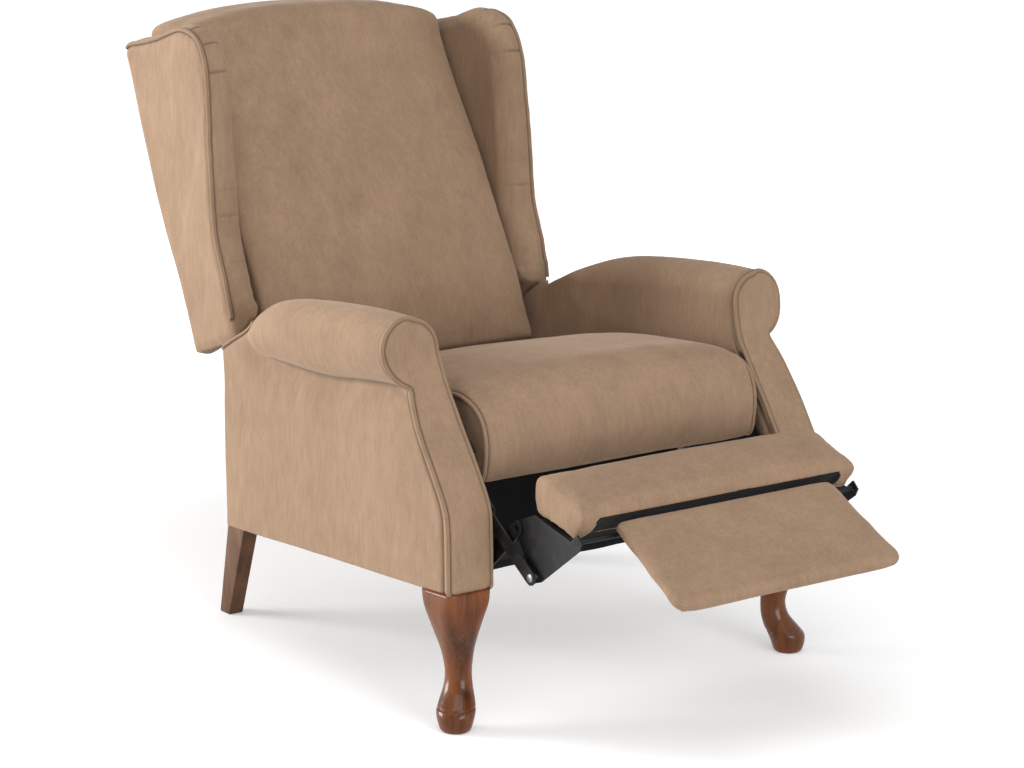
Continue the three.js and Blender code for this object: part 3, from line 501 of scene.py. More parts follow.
def laid_on(line: np.ndarray, cover: Any, lift: float) -> np.ndarray:
    """A line moved onto the nearest surface of a cover.

    Args:
        line: The line's points.
        cover: The piece that it lies on.
        lift: How far it stands off the surface.

    Returns:
        The moved points.
    """
    bm = bmesh.new()
    bm.from_mesh(cover.data)
    tree = BVHTree.FromBMesh(bm)
    bm.free()
    out = []
    for p in line:
        place, normal, _, _ = tree.find_nearest(Vector(p))
        out.append(place + normal * lift * MM)
    laid = np.array([tuple(v) for v in out])
    for _ in range(3):
        laid[1:-1] = (laid[:-2] + 2 * laid[1:-1] + laid[2:]) / 4
    return laid


def distance_to(piece: Any, line: np.ndarray) -> np.ndarray:
    """How far a piece's vertices are from a line.

    Args:
        piece: The piece.
        line: The line's points.

    Returns:
        The distance of each vertex.
    """
    tree = KDTree(len(line))
    for i, place in enumerate(line):
        tree.insert(place, i)
    tree.balance()
    return np.array([tree.find(place)[2] for place in places(piece)]) / MM


def paint_shade(piece: Any, amount: np.ndarray) -> Any:
    """Stores painted shade at each vertex, for seams, creases and tucks where shade falls, which darkens the
    velvet's colour.

    Args:
        piece: The cover.
        amount: The painted shade at each vertex, from 0 to 1. The deepest one stored is kept.

    Returns:
        The same cover.
    """
    layers = piece.data.attributes
    layer = layers.get("seam") or layers.new("seam", "FLOAT", "POINT")
    held = np.zeros(len(piece.data.vertices), dtype=np.float32)
    layer.data.foreach_get("value", held)
    layer.data.foreach_set("value", np.maximum(held, amount).astype(np.float32))
    return piece


def groove(piece: Any, line: np.ndarray, depth: float, width: float = 4.5) -> Any:
    """Draws a cover in along the seam under a piping cord, and paints shade into it beside the cord.

    Args:
        piece: The cover.
        line: The cord's points.
        depth: How far the cover is drawn in.
        width: How far from the cord the draw fades.

    Returns:
        The same cover.
    """
    far = distance_to(piece, line)
    # Painted shade: the velvet within reach of the cord is darkened, where shade falls in the seam.
    paint_shade(piece, np.clip((SEAM_SHADE_REACH - far) / SEAM_SHADE_FADE, 0, 1))

    def draw(p: np.ndarray, n: np.ndarray) -> np.ndarray:
        """The cloth drawn in beside the cord."""
        return -depth * np.exp(-((far / width) ** 2))

    return ripple(piece, draw)


# Repeated and path-following pieces, by Geometry Nodes


class NodeTree:
    """A Geometry Nodes tree with named inputs, built node by node."""

    def __init__(self, name: str, inputs: dict[str, tuple[str, Any]]) -> None:
        """Starts a tree.

        Args:
            name: The tree's name.
            inputs: The socket type and default of each input, by its name.
        """
        self.tree = bpy.data.node_groups.new(name, "GeometryNodeTree")
        face = self.tree.interface
        for way in ("INPUT", "OUTPUT"):
            face.new_socket(name="Geometry", in_out=way, socket_type="NodeSocketGeometry")
        self.keys: dict[str, str] = {}
        for label, (kind, default) in inputs.items():
            socket = face.new_socket(name=label, in_out="INPUT", socket_type=kind)
            if default is not None:
                socket.default_value = default
            self.keys[label] = socket.identifier
        self.source = self.tree.nodes.new("NodeGroupInput")
        self.sink = self.tree.nodes.new("NodeGroupOutput")

    def add(self, kind: str, links: Optional[dict[str, Any]] = None, **settings: Any) -> Any:
        """Adds a node.

        Args:
            kind: The node's type.
            links: Its inputs by name, each a socket or a value.
            **settings: Its own settings, set before the inputs.

        Returns:
            The node.
        """
        node = self.tree.nodes.new(kind)
        for key, value in settings.items():
            setattr(node, key, value)
        for key, value in (links or {}).items():
            if isinstance(value, bpy.types.NodeSocket):
                self.tree.links.new(value, node.inputs[key])
            else:
                node.inputs[key].default_value = value
        return node

    def given(self, label: str) -> Any:
        """The socket that carries a named input."""
        return self.source.outputs[label]

    def finish(self, geometry: Any) -> "NodeTree":
        """Ends the tree with realized instances, smooth faces and the material.

        Args:
            geometry: The socket that carries what the tree has made.

        Returns:
            The tree.
        """
        real = self.add("GeometryNodeRealizeInstances", {"Geometry": geometry})
        smooth = self.add("GeometryNodeSetShadeSmooth", {"Geometry": real.outputs[0]})
        material = {"Geometry": smooth.outputs[0], "Material": self.given("Material")}
        paint = self.add("GeometryNodeSetMaterial", material)
        self.tree.links.new(paint.outputs[0], self.sink.inputs[0])
        return self

    def run(self, piece: Any, **values: Any) -> Any:
        """Runs the tree on a piece and leaves a plain mesh.

        Args:
            piece: The object that holds the tree's points or path.
            **values: The tree's inputs, by name.

        Returns:
            The same piece, with its new mesh.
        """
        modifier = piece.modifiers.new("tree", "NODES")
        modifier.node_group = self.tree
        for label, value in values.items():
            modifier[self.keys[label]] = value
        return settle(piece)


MATERIAL = ("NodeSocketMaterial", None)


def tube_tree() -> NodeTree:
    """A tree that runs a round section along a path of edges.

    Returns:
        The tree, with the inputs Radius, Sides and Material.
    """
    tree = NodeTree("tube_along_path", {
        "Radius": ("NodeSocketFloat", 0.003),
        "Sides": ("NodeSocketInt", 10),
        "Material": MATERIAL,
    })
    path = tree.add("GeometryNodeMeshToCurve", {"Mesh": tree.source.outputs[0]})
    section = {"Resolution": tree.given("Sides"), "Radius": tree.given("Radius")}
    ring = tree.add("GeometryNodeCurvePrimitiveCircle", section)
    swept = tree.add(
        "GeometryNodeCurveToMesh",
        {"Curve": path.outputs[0], "Profile Curve": ring.outputs[0], "Fill Caps": True},
    )
    return tree.finish(swept.outputs[0])


def stud_tree() -> NodeTree:
    """A tree that sets a domed head, turned at random, on each of its points, facing along X.

    Returns:
        The tree, with the inputs Radius, Height, Seed and Material.
    """
    tree = NodeTree("domed_studs", {
        "Radius": ("NodeSocketFloat", 0.006),
        "Height": ("NodeSocketFloat", 0.002),
        "Seed": ("NodeSocketInt", 3),
        "Material": MATERIAL,
    })
    size = {"Segments": 20, "Rings": 10, "Radius": tree.given("Radius")}
    ball = tree.add("GeometryNodeMeshUVSphere", size)
    shares = {0: tree.given("Height"), 1: tree.given("Radius")}
    flat = tree.add("ShaderNodeMath", shares, operation="DIVIDE")
    shape = tree.add("ShaderNodeCombineXYZ", {0: flat.outputs[0], 1: 1.0, 2: 1.0})
    head = tree.add("GeometryNodeTransform", {"Geometry": ball.outputs[0], "Scale": shape.outputs[0]})
    turn = tree.add("FunctionNodeRandomValue", {"Seed": tree.given("Seed")}, data_type="FLOAT_VECTOR")
    turn.inputs[0].default_value = (0.0, 0.0, 0.0)
    turn.inputs[1].default_value = (math.tau, 0.0, 0.0)
    point = tree.add("GeometryNodeMeshToPoints", {"Mesh": tree.source.outputs[0]})
    set_heads = tree.add(
        "GeometryNodeInstanceOnPoints",
        {"Points": point.outputs[0], "Instance": head.outputs[0], "Rotation": turn.outputs[0]},
    )
    return tree.finish(set_heads.outputs[0])


# Shader sums written as Python


def darker(shade: Triple, share: float) -> Triple:
    """A colour times a share."""
    return tuple(c * share for c in shade)


class Flow:
    """A shader socket that takes part in sums as a number does."""

    def __init__(self, bench: "Bench", socket: Any) -> None:
        """Wraps a socket of a material."""
        self.bench = bench
        self.socket = socket

    def _with(self, operation: str, *others: Any) -> "Flow":
        """A Math node over this socket and others."""
        return self.bench.node("ShaderNodeMath", *others, operation=operation)

    def __add__(self, other: Any) -> "Flow":
        """This plus other."""
        return self._with("ADD", self, other)

    __radd__ = __add__

    def __sub__(self, other: Any) -> "Flow":
        """This less other."""
        return self._with("SUBTRACT", self, other)

    def __rsub__(self, other: Any) -> "Flow":
        """Other less this."""
        return self._with("SUBTRACT", other, self)

    def __mul__(self, other: Any) -> "Flow":
        """This times other."""
        return self._with("MULTIPLY", self, other)

    __rmul__ = __mul__

    def mapped(self, low: float, high: float, to_low: float = 0.0, to_high: float = 1.0) -> "Flow":
        """This moved from the range low to high into another one, and kept inside it."""
        return self.bench.node("ShaderNodeMapRange", self, low, high, to_low, to_high, clamp=True)


class Bench:
    """The node tree of one material, with its Principled shader."""

    def __init__(self, name: str) -> None:
        """Makes a new material.

        Args:
            name: Its name.
        """
        self.material = bpy.data.materials.new(name)
        self.material.use_nodes = True
        self.nodes = self.material.node_tree.nodes
        self.links = self.material.node_tree.links
        self.shader = self.nodes["Principled BSDF"]

    def node(self, kind: str, *values: Any, output: int = 0, **settings: Any) -> Flow:
        """Adds any node.

        Args:
            kind: The node's type.
            *values: What its first inputs get, each a Flow or a value.
            output: Which output the result reads.
            **settings: Its own settings, or inputs by lower-case name with a trailing underscore.

        Returns:
            The chosen output.
        """
        node = self.nodes.new(kind)
        for key, value in settings.items():
            if not key.endswith("_"):
                setattr(node, key, value)
        for socket, value in zip(node.inputs, values):
            self.join(socket, value)
        for key, value in settings.items():
            if key.endswith("_"):
                self.join(node.inputs[key[:-1].replace("_", " ").title()], value)
        return Flow(self, node.outputs[output])

    def join(self, socket: Any, value: Any) -> None:
        """Links or sets one input.

        Args:
            socket: The input.
            value: A Flow that is linked to it, or a value.
        """
        if isinstance(value, Flow):
            self.links.new(value.socket, socket)
        else:
            socket.default_value = value

    def surface(self, scale: Triple = (1, 1, 1)) -> Flow:
        """Object coordinates, stretched by a scale."""
        place = self.node("ShaderNodeTexCoord", output=3)
        return self.node("ShaderNodeMapping", place, scale_=scale)

    def speckle(self, scale: float, detail: float = 2.0, stretch: Triple = (1, 1, 1)) -> Flow:
        """Noise from 0 to 1 of a scale, a detail and a stretch along each axis."""
        return self.node("ShaderNodeTexNoise", self.surface(stretch), scale_=scale, detail_=detail)

    def blend(self, share: Flow, first: Any, second: Any) -> Flow:
        """A colour between two colours.

        Args:
            share: How far it is from the first to the second.
            first: The colour at 0, a Flow or three numbers.
            second: The colour at 1, a Flow or three numbers.

        Returns:
            The blended colour.
        """
        mix = self.nodes.new("ShaderNodeMix")
        mix.data_type = "RGBA"
        self.join(mix.inputs[0], share)
        self.join(mix.inputs[6], first if isinstance(first, Flow) else (*first, 1.0))
        self.join(mix.inputs[7], second if isinstance(second, Flow) else (*second, 1.0))
        return Flow(self, mix.outputs[2])

    def bump(self, height: Flow, distance: float, strength: float, under: Optional[Flow] = None) -> Flow:
        """A bumped normal.

        Args:
            height: The height over the surface, from 0 to 1.
            distance: The height that 1 stands for, in metres.
            strength: How much of it shows.
            under: A bumped normal that this one goes over.

        Returns:
            The normal.
        """
        node = self.nodes.new("ShaderNodeBump")
        node.inputs["Strength"].default_value = strength
        node.inputs["Distance"].default_value = distance
        self.links.new(height.socket, node.inputs["Height"])
        if under is not None:
            self.links.new(under.socket, node.inputs["Normal"])
        return Flow(self, node.outputs[0])

    def dress(self, **inputs: Any) -> Any:
        """Sets the Principled shader's inputs.

        Args:
            **inputs: A Flow, a number or a colour for each, by lower-case name.

        Returns:
            The material.
        """
        names = {n.name.lower().replace(" ", "_"): n for n in self.shader.inputs}
        for key, value in inputs.items():
            if isinstance(value, tuple):
                value = (*value, 1.0)
            self.join(names[key], value)
        return self.material


@dataclass(frozen=True)
class Velvet:
    """Short-pile velvet whose nap is brushed in patches and fine streaks, with shade painted darker into its
    seams, creases and tucks.
    """

    name: str = "tan_velvet"
    shade: Triple = (0.285, 0.188, 0.121)
    depth: float = 1.0
    sheen: float = 0.2
    # How far the painted shade darkens the seams, creases and tucks.
    seam: float = 0.85

    def make(self) -> Any:
        """Builds the material.

        Returns:
            The material.
        """
        b = Bench(self.name)
        nap = b.speckle(620.0, 3.0)
        streak = b.speckle(150.0, 4.0, (1.0, 1.0, 0.22))
        brushed = b.speckle(13.0, 5.0, (1.0, 1.0, 0.55))
        cloudy = b.speckle(46.0, 4.0, (1.0, 1.0, 0.5))
        tone = nap * 0.34 + streak * 0.22 + brushed * 0.24 + cloudy * 0.20
        tone = tone.mapped(0.37, 0.63)
        dark, light = darker(self.shade, 1 - 0.2 * self.depth), darker(self.shade, 1 + 0.17 * self.depth)
        # Painted shade: the seam attribute blends the colour towards dark brown in seams, creases and tucks.
        seam = b.node("ShaderNodeAttribute", output=2, attribute_name="seam")
        colour = b.blend(seam * self.seam, b.blend(tone, dark, light), darker(self.shade, 0.3))
        pile = b.bump(nap * 0.6 + streak * 0.4, 0.0006, 0.5)
        soft = b.bump(b.speckle(26.0, 2.0), 0.0022, 0.35, pile)
        rough = (1 - tone) * 0.16 + 0.78
        return b.dress(
            base_color=colour, roughness=rough, normal=soft, sheen_weight=self.sheen,
            sheen_roughness=0.42, sheen_tint=(1.0, 0.86, 0.74), specular_ior_level=0.12,
        )


@dataclass(frozen=True)
class Lacquer:
    """Stained and lacquered wood with its grain up the leg."""

    name: str
    dark: Triple
    light: Triple
    coat: float
    rough: float = 0.3

    def make(self) -> Any:
        """Builds the material.

        Returns:
            The material.
        """
        b = Bench(self.name)
        figure = b.speckle(46.0, 5.0, (1.0, 1.0, 0.1))
        pore = b.speckle(420.0, 2.0, (1.0, 1.0, 0.05))
        cloudy = b.speckle(12.0, 2.0)
        grain = (figure * 0.6 + pore * 0.22 + cloudy * 0.3).mapped(0.4, 0.72)
        colour = b.blend(grain, self.dark, self.light)
        rough = pore * 0.12 + self.rough
        return b.dress(
            base_color=colour, roughness=rough, normal=b.bump(pore, 0.0003, 0.25),
            coat_weight=self.coat, coat_roughness=0.06, specular_ior_level=0.15,
        )


@dataclass(frozen=True)
class Paint:
    """Painted steel with a slight orange peel and rubbed patches."""

    name: str = "satin_black_paint"
    shade: Triple = (0.007, 0.007, 0.008)
    rubbed: Triple = (0.024, 0.023, 0.022)

    def make(self) -> Any:
        """Builds the material.

        Returns:
            The material.
        """
        b = Bench(self.name)
        worn = b.speckle(55.0, 6.0).mapped(0.52, 0.72)
        peel = b.speckle(900.0, 2.0)
        colour = b.blend(worn, self.shade, self.rubbed)
        return b.dress(
            base_color=colour, roughness=worn * 0.15 + 0.45, metallic=worn * 0.2,
            normal=b.bump(peel, 0.0002, 0.3), specular_ior_level=0.2,
        )


@dataclass(frozen=True)
class BareSteel:
    """Oiled spring steel or a rivet's bare head."""

    name: str = "oiled_steel"
    shade: Triple = (0.3, 0.3, 0.31)

    def make(self) -> Any:
        """Builds the material.

        Returns:
            The material.
        """
        b = Bench(self.name)
        stain = b.speckle(70.0, 4.0).mapped(0.4, 0.7)
        colour = b.blend(stain, self.shade, darker(self.shade, 0.45))
        return b.dress(
            base_color=colour, roughness=stain * 0.25 + 0.28, metallic=0.9 - stain * 0.2,
            normal=b.bump(b.speckle(700.0), 0.0002, 0.3),
        )


@dataclass(frozen=True)
class RawTimber:
    """Unfinished hardwood and plywood of the hidden frame."""

    name: str
    stretch: Triple
    light: Triple = (0.56, 0.38, 0.2)
    dark: Triple = (0.34, 0.2, 0.09)

    def make(self) -> Any:
        """Builds the material.

        Returns:
            The material.
        """
        b = Bench(self.name)
        ring = b.speckle(60.0, 5.0, self.stretch)
        fleck = b.speckle(380.0, 2.0, self.stretch)
        grain = (ring * 0.7 + fleck * 0.3).mapped(0.35, 0.65)
        return b.dress(
            base_color=b.blend(grain, self.dark, self.light), roughness=fleck * 0.2 + 0.65,
            normal=b.bump(fleck, 0.0005, 0.4),
        )


class Finishes:
    """All the chair's finishes, and the trees that use them."""

    def __init__(self) -> None:
        """Makes every material and tree once."""
        self.velvet = Velvet().make()
        self.piping = Velvet("velvet_piping", (0.262, 0.172, 0.11), 0.8, 0.2).make()
        # Black cloth for the backing behind the cross bar, and for the sheet of painted shade under the pad's
        # nose.
        self.backing = Velvet("black_backing_cloth", (0.012, 0.012, 0.013), 0.5, 0.03).make()
        mahogany = Lacquer("mahogany_lacquer", (0.045, 0.012, 0.0035), (0.2, 0.06, 0.014), 0.25)
        brown = Lacquer("dark_brown_lacquer", (0.06, 0.026, 0.013), (0.17, 0.085, 0.046), 0.06, 0.45)
        self.front_wood, self.rear_wood = mahogany.make(), brown.make()
        self.timber_along = RawTimber("timber_along", (1.0, 0.08, 1.0)).make()
        self.timber_across = RawTimber("timber_across", (0.08, 1.0, 1.0)).make()
        self.timber_up = RawTimber("timber_up", (1.0, 1.0, 0.08)).make()
        self.paint = Paint().make()
        self.steel = BareSteel().make()
        self.tube = tube_tree()
        self.studs = stud_tree()


@dataclass
class Workshop:
    """What every sub-assembly shares: the finishes, and how a piece is hung on the frame."""

    finishes: Finishes
    count: int = 0

    def hang(
        self, piece: Any, body: str, material: Any, slot: Slot, stands_for: Sequence[str] = (),
        fill: Optional[float] = None,
    ) -> None:
        """Dresses a piece and hangs it on a body.

        Args:
            piece: The finished piece.
            body: The body that it rides on.
            material: Its material.
            slot: The record's slot that it stands for; not used.
            stands_for: The CAD nodes that it replaces.
            fill: How tightly it is stuffed, on a pad or cushion; not used.
        """
        piece.data.materials.clear()
        piece.data.materials.append(material)
        if stands_for:
            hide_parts(*stands_for)
        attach(piece, body)
        self.count += 1
        LOG.info("%s on %s: %d faces", piece.name, body, len(piece.data.polygons))

    def tube(
        self, name: str, line: np.ndarray, radius: float, body: str, material: Any, slot: Slot,
        stands_for: Sequence[str] = (),
    ) -> None:
        """Runs a round tube along a line and hangs it.

        Args:
            name: The piece's name.
            line: The line's points.
            radius: The tube's radius.
            body: The body that it rides on.
            material: Its material.
            slot: The record's slot that it stands for.
            stands_for: The CAD nodes that it replaces.
        """
        path = make_object(name, line, (), [(i, i + 1) for i in range(len(line) - 1)])
        piece = self.finishes.tube.run(path, Radius=radius * MM, Material=material)
        self.hang(piece, body, material, slot, stands_for)

    def welt(self, name: str, line: np.ndarray, body: str, radius: float) -> None:
        """Runs a self-fabric piping cord along a line."""
        self.tube(name, line, radius, body, self.finishes.piping, Slot.UPHOLSTERY)

    def studs(self, name: str, spots: np.ndarray, radius: float, height: float, body: str) -> None:
        """Sets domed rivet heads.

        Args:
            name: The piece's name.
            spots: The heads' places.
            radius: A head's radius.
            height: How far a head stands out.
            body: The body that they ride on.
        """
        steel = self.finishes.steel
        points = make_object(name, spots, ())
        piece = self.finishes.studs.run(points, Radius=radius * MM, Height=height * MM, Material=steel)
        self.hang(piece, body, steel, Slot.SPRING)


# The arms


@dataclass
class Arms:
    """The two rolled arms: padded panel, roll, swept facing, tail and piping.

    Sizes are in millimetres. Stations are rows of depth share, drop share and how far the section is a roll.
    Levels give how far the outer face is drawn in at a share of its height, and droops how far the padding
    hangs at a depth share.
    """

    shop: Workshop
    inner: float = 272.0
    width: float = 76.0
    front: float = 327.0
    rear: float = -292.0
    low_front: float = 212.0
    low_rear: float = 180.0
    roll_radius: float = 47.5
    roll_x: float = 324.0
    roll_top: float = 588.0
    roll_front: float = 197.0
    neck: float = 13.0
    neck_angle: float = -74.0
    facing: float = 12.0
    facing_seat: float = 2.5
    facing_proud: float = 1.5
    facing_crown: float = 2.4
    flat_round: float = 14.0
    flat_square: float = 0.45
    sweep: Table = (
        (0, 0), (0.257, 0.015), (0.339, 0.076), (0.418, 0.214), (0.497, 0.366), (0.577, 0.534),
        (0.656, 0.687), (0.735, 0.84), (0.815, 0.93), (0.881, 0.977), (1, 1),
    )
    flat_fall: float = 28.0
    foot_round: float = 3.0
    foot_hollow: float = 2.5
    rear_round: float = 8.0
    edge_round: float = 5.5
    cord_inset: float = 3.6
    welt_radius: float = 3.4
    thin_welt_radius: float = 2.8
    hinge: tuple[float, float] = (-205.0, 318.0)
    tail_reach: float = 204.0
    tail_span: tuple[float, float] = (-52.0, 16.0)
    tail_foot: float = 345.0
    tail_sheets: Table = ((272.4, 2.6), (273, 1), (274.4, 0), (277.4, 0), (279, 1), (279.6, 2.6))
    stations: Table = (
        (0, 0.239, 0), (0.061, 0.199, 0), (0.115, 0.168, 0), (0.166, 0.134, 0.2), (0.227, 0.102, 0.68),
        (0.307, 0.072, 0.9), (0.423, 0.044, 0.98), (0.593, 0.02, 1), (0.76, 0.005, 1), (0.903, 0, 1),
    )
    levels: Table = (
        (0, 0), (0.345, 0), (0.455, 0), (0.562, 0), (0.669, 0), (0.776, 0.08), (0.883, 0.35), (1, 1),
    )
    droops: Table = ((0, 0), (0.3, 0), (0.42, 9), (0.56, 16), (0.66, 17), (0.8, 12), (1, 4))
    shoulder: Table = (
        (-290, 470), (-275, 477), (-258, 487.5), (-240, 499), (-224, 509.5), (-208, 519), (-196, 525),
    )
    foot_rises: Sequence[float] = (0.0, 0.004, 0.009, 0.016)
    head_rises: Sequence[float] = (0.93, 0.955, 0.975, 0.99, 1.0)
    turns: int = 46

    @property
    def rises(self) -> np.ndarray:
        """The heights of a face's points, as shares, close together at its foot and head."""
        return np.concatenate([self.foot_rises, np.linspace(0.035, 0.9, 19), self.head_rises])

    @property
    def outer(self) -> float:
        """The arm's outer face."""
        return self.inner + self.width

    @property
    def paired(self) -> int:
        """How many of a section's points face one another, the rest lying under the arm."""
        return 2 * len(self.rises) + self.turns

    @property
    def neck_height(self) -> float:
        """The height at which the front of the roll meets the panel."""
        return self.roll_top - 2 * self.roll_radius

    def underside(self, forward: Any) -> Any:
        """The height of the lower edge at a forward place."""
        return between(self.low_rear, self.low_front, (forward - self.rear) / (self.front - self.rear))

    def front_at(self, height: Any) -> Any:
        """The swept front.

        Args:
            height: A height or heights.

        Returns:
            The forward place of the front there.
        """
        share = (np.asarray(height, float) - self.low_front) / (self.roll_top - self.low_front)
        line = curve_through(self.sweep, 12)
        return between(self.front, self.roll_front, np.interp(share, line[:, 0], line[:, 1]))

    def closed(self, inner: np.ndarray, cap: np.ndarray, outer: np.ndarray, low: float) -> np.ndarray:
        """A whole section, with rounded feet and a hollow underside.

        Args:
            inner: Its inner face from foot to top.
            cap: Its top from the inner to the outer face.
            outer: Its outer face from foot to top.
            low: The height of its foot.

        Returns:
            The section's points.
        """
        for face, way in ((inner, 1), (outer, -1)):
            rise = np.clip(self.foot_round - (face[:, 1] - low), 0, self.foot_round)
            face[:, 0] += way * (self.foot_round - np.sqrt(self.foot_round**2 - rise**2))
        hem, hollow, high = 2 * self.foot_round, 3 * self.foot_round, low + self.foot_hollow
        left, right = self.inner, self.outer
        under = [(right - hem, low), (right - hollow, high), (left + hollow, high), (left + hem, low)]
        return np.vstack([inner, cap, outer[::-1], under])

    def face(self, x: Any, low: float, high: Any) -> np.ndarray:
        """An upright face of a section, from its foot to its head."""
        return np.stack([np.broadcast_to(x, self.rises.shape), between(low, high, self.rises)], axis=1)

    def roll_section(self, low: float, top: float, droop: float = 4.0) -> np.ndarray:
        """The section where the arm is a roll on a panel, as side place and height.

        Args:
            low: The height of its foot.
            top: The height of its roll's top.
            droop: How far the padding hangs below a round roll.

        Returns:
            The section's points.
        """
        centre = top - self.roll_radius
        neck = centre - self.roll_radius - droop
        line = curve_through(self.levels, 8)
        recess = np.interp(self.rises, line[:, 0], line[:, 1])
        angle = np.radians(np.linspace(180, self.neck_angle, self.turns))
        rise = np.sin(angle)
        high = centre + self.roll_radius * rise + droop * np.minimum(rise, 0) / 0.96
        roll = np.stack([self.roll_x + self.roll_radius * np.cos(angle), high], axis=1)
        outer = self.face(self.outer - recess * self.neck, low, neck)
        return self.closed(self.face(self.inner, low, neck), roll, outer, low)

    def panel_section(self, low: float, top: float) -> np.ndarray:
        """The section behind the roll, a panel with a rounded top that falls outwards.

        Args:
            low: The height of its foot.
            top: The height of its inner top edge.

        Returns:
            The section's points, as side place and height.
        """
        shoulder = top - 2 * self.flat_round
        angle = np.linspace(math.pi, 0, self.turns)
        across = signed_power(np.cos(angle), self.flat_square)
        x = (self.inner + self.outer) / 2 + self.width / 2 * across
        fall = self.flat_fall * (x - self.inner) / self.width
        up = np.abs(np.sin(angle)) ** self.flat_square
        cap = np.stack([x, top - fall - self.flat_round * (1 - up)], axis=1)
        outer = self.face(self.outer, low, shoulder - self.flat_fall)
        return self.closed(self.face(self.inner, low, shoulder), cap, outer, low)

    def section(self, way: float, drop: float, rolled: float) -> np.ndarray:
        """The section at a station.

        Args:
            way: The station's depth share.
            drop: How far down the arm's top is there, as a share.
            rolled: How far the section is a roll, from 0 to 1.

        Returns:
            The section's points, as side place and height.
        """
        forward = between(self.rear, self.roll_front, way)
        top, low = between(self.roll_top, self.low_front, drop), self.underside(forward)
        roll = self.roll_section(low, top, float(read_table(self.droops, way)))
        return between(self.panel_section(low, top), roll, np.clip(rolled, 0, 1))

    def rear_rings(self, drop: float) -> list[np.ndarray]:
        """The rounded rings that close the left arm behind.

        Args:
            drop: How far down the arm's top is there, as a share.

        Returns:
            The rings, from the rearmost on.
        """
        flat = self.section(0, drop, 0)
        middle = flat.mean(axis=0)
        half = np.array([self.width / 2, 150.0])
        rings = []
        for step in (0.0, 0.7, 1.8, 3.6, 6.0):
            inset = self.rear_round - math.sqrt(self.rear_round**2 - (self.rear_round - step) ** 2)
            ring = middle + (flat - middle) * (1 - inset / half)
            rings.append(spot(-ring[:, 0], self.rear + step, ring[:, 1]))
        return rings

    def creases(self, p: np.ndarray, n: np.ndarray) -> np.ndarray:
        """The gathers under the roll's front, and the droop along it.

        Args:
            p: The cover's places, in millimetres.
            n: Its normals.

        Returns:
            The move of each place.
        """
        forward, height = SHIFT - p[:, 1], p[:, 2]
        neck = self.neck_height
        outside = np.clip((np.abs(p[:, 0]) - 325) / 12, 0, 1)
        near = np.exp(-(((forward - self.front_at(neck) + 22) / 26) ** 2) - ((height - neck + 12) / 17) ** 2)
        pull = np.cos((height - neck) / 3.4 + (forward - 190) * 0.05)
        droop = np.exp(-(((height - neck + 26 + 0.00045 * (forward - 30) ** 2) / 30) ** 2))
        return outside * (near * pull * 1.2 - droop * 1.2)

    def body(self) -> Any:
        """The left arm's padded cover.

        Returns:
            The cover, whose last rings follow the swept front.
        """
        rows = curve_through(self.stations, 5)
        rings = self.rear_rings(rows[0, 1])
        for way, drop, rolled in rows[1:]:
            flat = self.section(way, drop, rolled)
            rings.append(spot(-flat[:, 0], between(self.rear, self.roll_front, way), flat[:, 1]))
        back_off = self.facing - self.facing_seat
        flat = self.roll_section(self.underside(self.front - back_off), self.roll_top)
        start, end = rings[-1], spot(-flat[:, 0], self.front_at(flat[:, 1]) - back_off, flat[:, 1])
        rings += [between(start, end, share) for share in np.linspace(0, 1, 12)[1:]]
        piece = ripple(subdivide(skin("left_arm_cover", rings, self.paired)), self.creases)
        return soft_dents(piece, 0.9, 110.0, 2)

    def halves(self) -> tuple[np.ndarray, np.ndarray]:
        """The facing's two edges.

        Returns:
            The inner and the outer edge from foot to crown, as side place and height.
        """
        flat = self.roll_section(self.underside(self.front), self.roll_top)[: self.paired]
        crown = int(np.argmax(flat[:, 1]))
        lines = []
        for line in (flat[: crown + 1], flat[crown:][::-1]):
            run = np.concatenate([[0], np.cumsum(np.linalg.norm(np.diff(line, axis=0), axis=1))])
            close = np.array([0, 0.6, 1.5, 2.8, 4.6, 7.2, 11.0])
            want = np.concatenate([close, np.linspace(17, run[-1] - 17, 58), run[-1] - close[::-1]])
            lines.append(np.stack([np.interp(want, run, line[:, k]) for k in (0, 1)], axis=1))
        return lines[0], lines[1]

    def puckers(self, p: np.ndarray, n: np.ndarray) -> np.ndarray:
        """The small puckers of the facing beside its neck.

        Args:
            p: The cover's places, in millimetres.
            n: Its normals.

        Returns:
            The move of each place.
        """
        neck = self.neck_height
        near = np.exp(-(((p[:, 2] - neck + 2) / 20) ** 2) - ((np.abs(p[:, 0]) - self.outer + 14) / 14) ** 2)
        return (near * np.cos((p[:, 2] - neck) / 3.0) * 0.8 + 0.6 * cloud(p, 70, 3)) * (n[:, 1] < -0.4)

    def facing_panel(self) -> Any:
        """The left arm's padded facing.

        Returns:
            The facing, laid out in rows from its foot to the top of its roll.
        """
        inner, outer = self.halves()
        rim = evenly(np.vstack([inner, outer[::-1]]), 700, True)
        across = (1 - np.cos(np.linspace(0, math.pi, 33))) / 2
        rings = []
        for a, b in zip(inner, outer):
            flat = between(a, b, across[:, None])
            far = np.linalg.norm(flat[:, None] - rim[None], axis=2).min(axis=1)
            lip = self.edge_round * np.sqrt(1 - (1 - np.clip(far / self.edge_round, 0, 1)) ** 2)
            crown = self.facing_crown * np.sin(np.clip(far / 26, 0, 1) * math.pi / 2)
            front = self.front_at(flat[:, 1])
            proud = front + self.facing_proud - self.edge_round + lip + crown
            behind = spot(-flat[:, 0], front - self.facing, flat[:, 1])
            rings.append(np.vstack([spot(-flat[:, 0], proud, flat[:, 1]), behind[::-1]]))
        return ripple(skin("left_arm_facing", rings, 2 * len(across)), self.puckers)

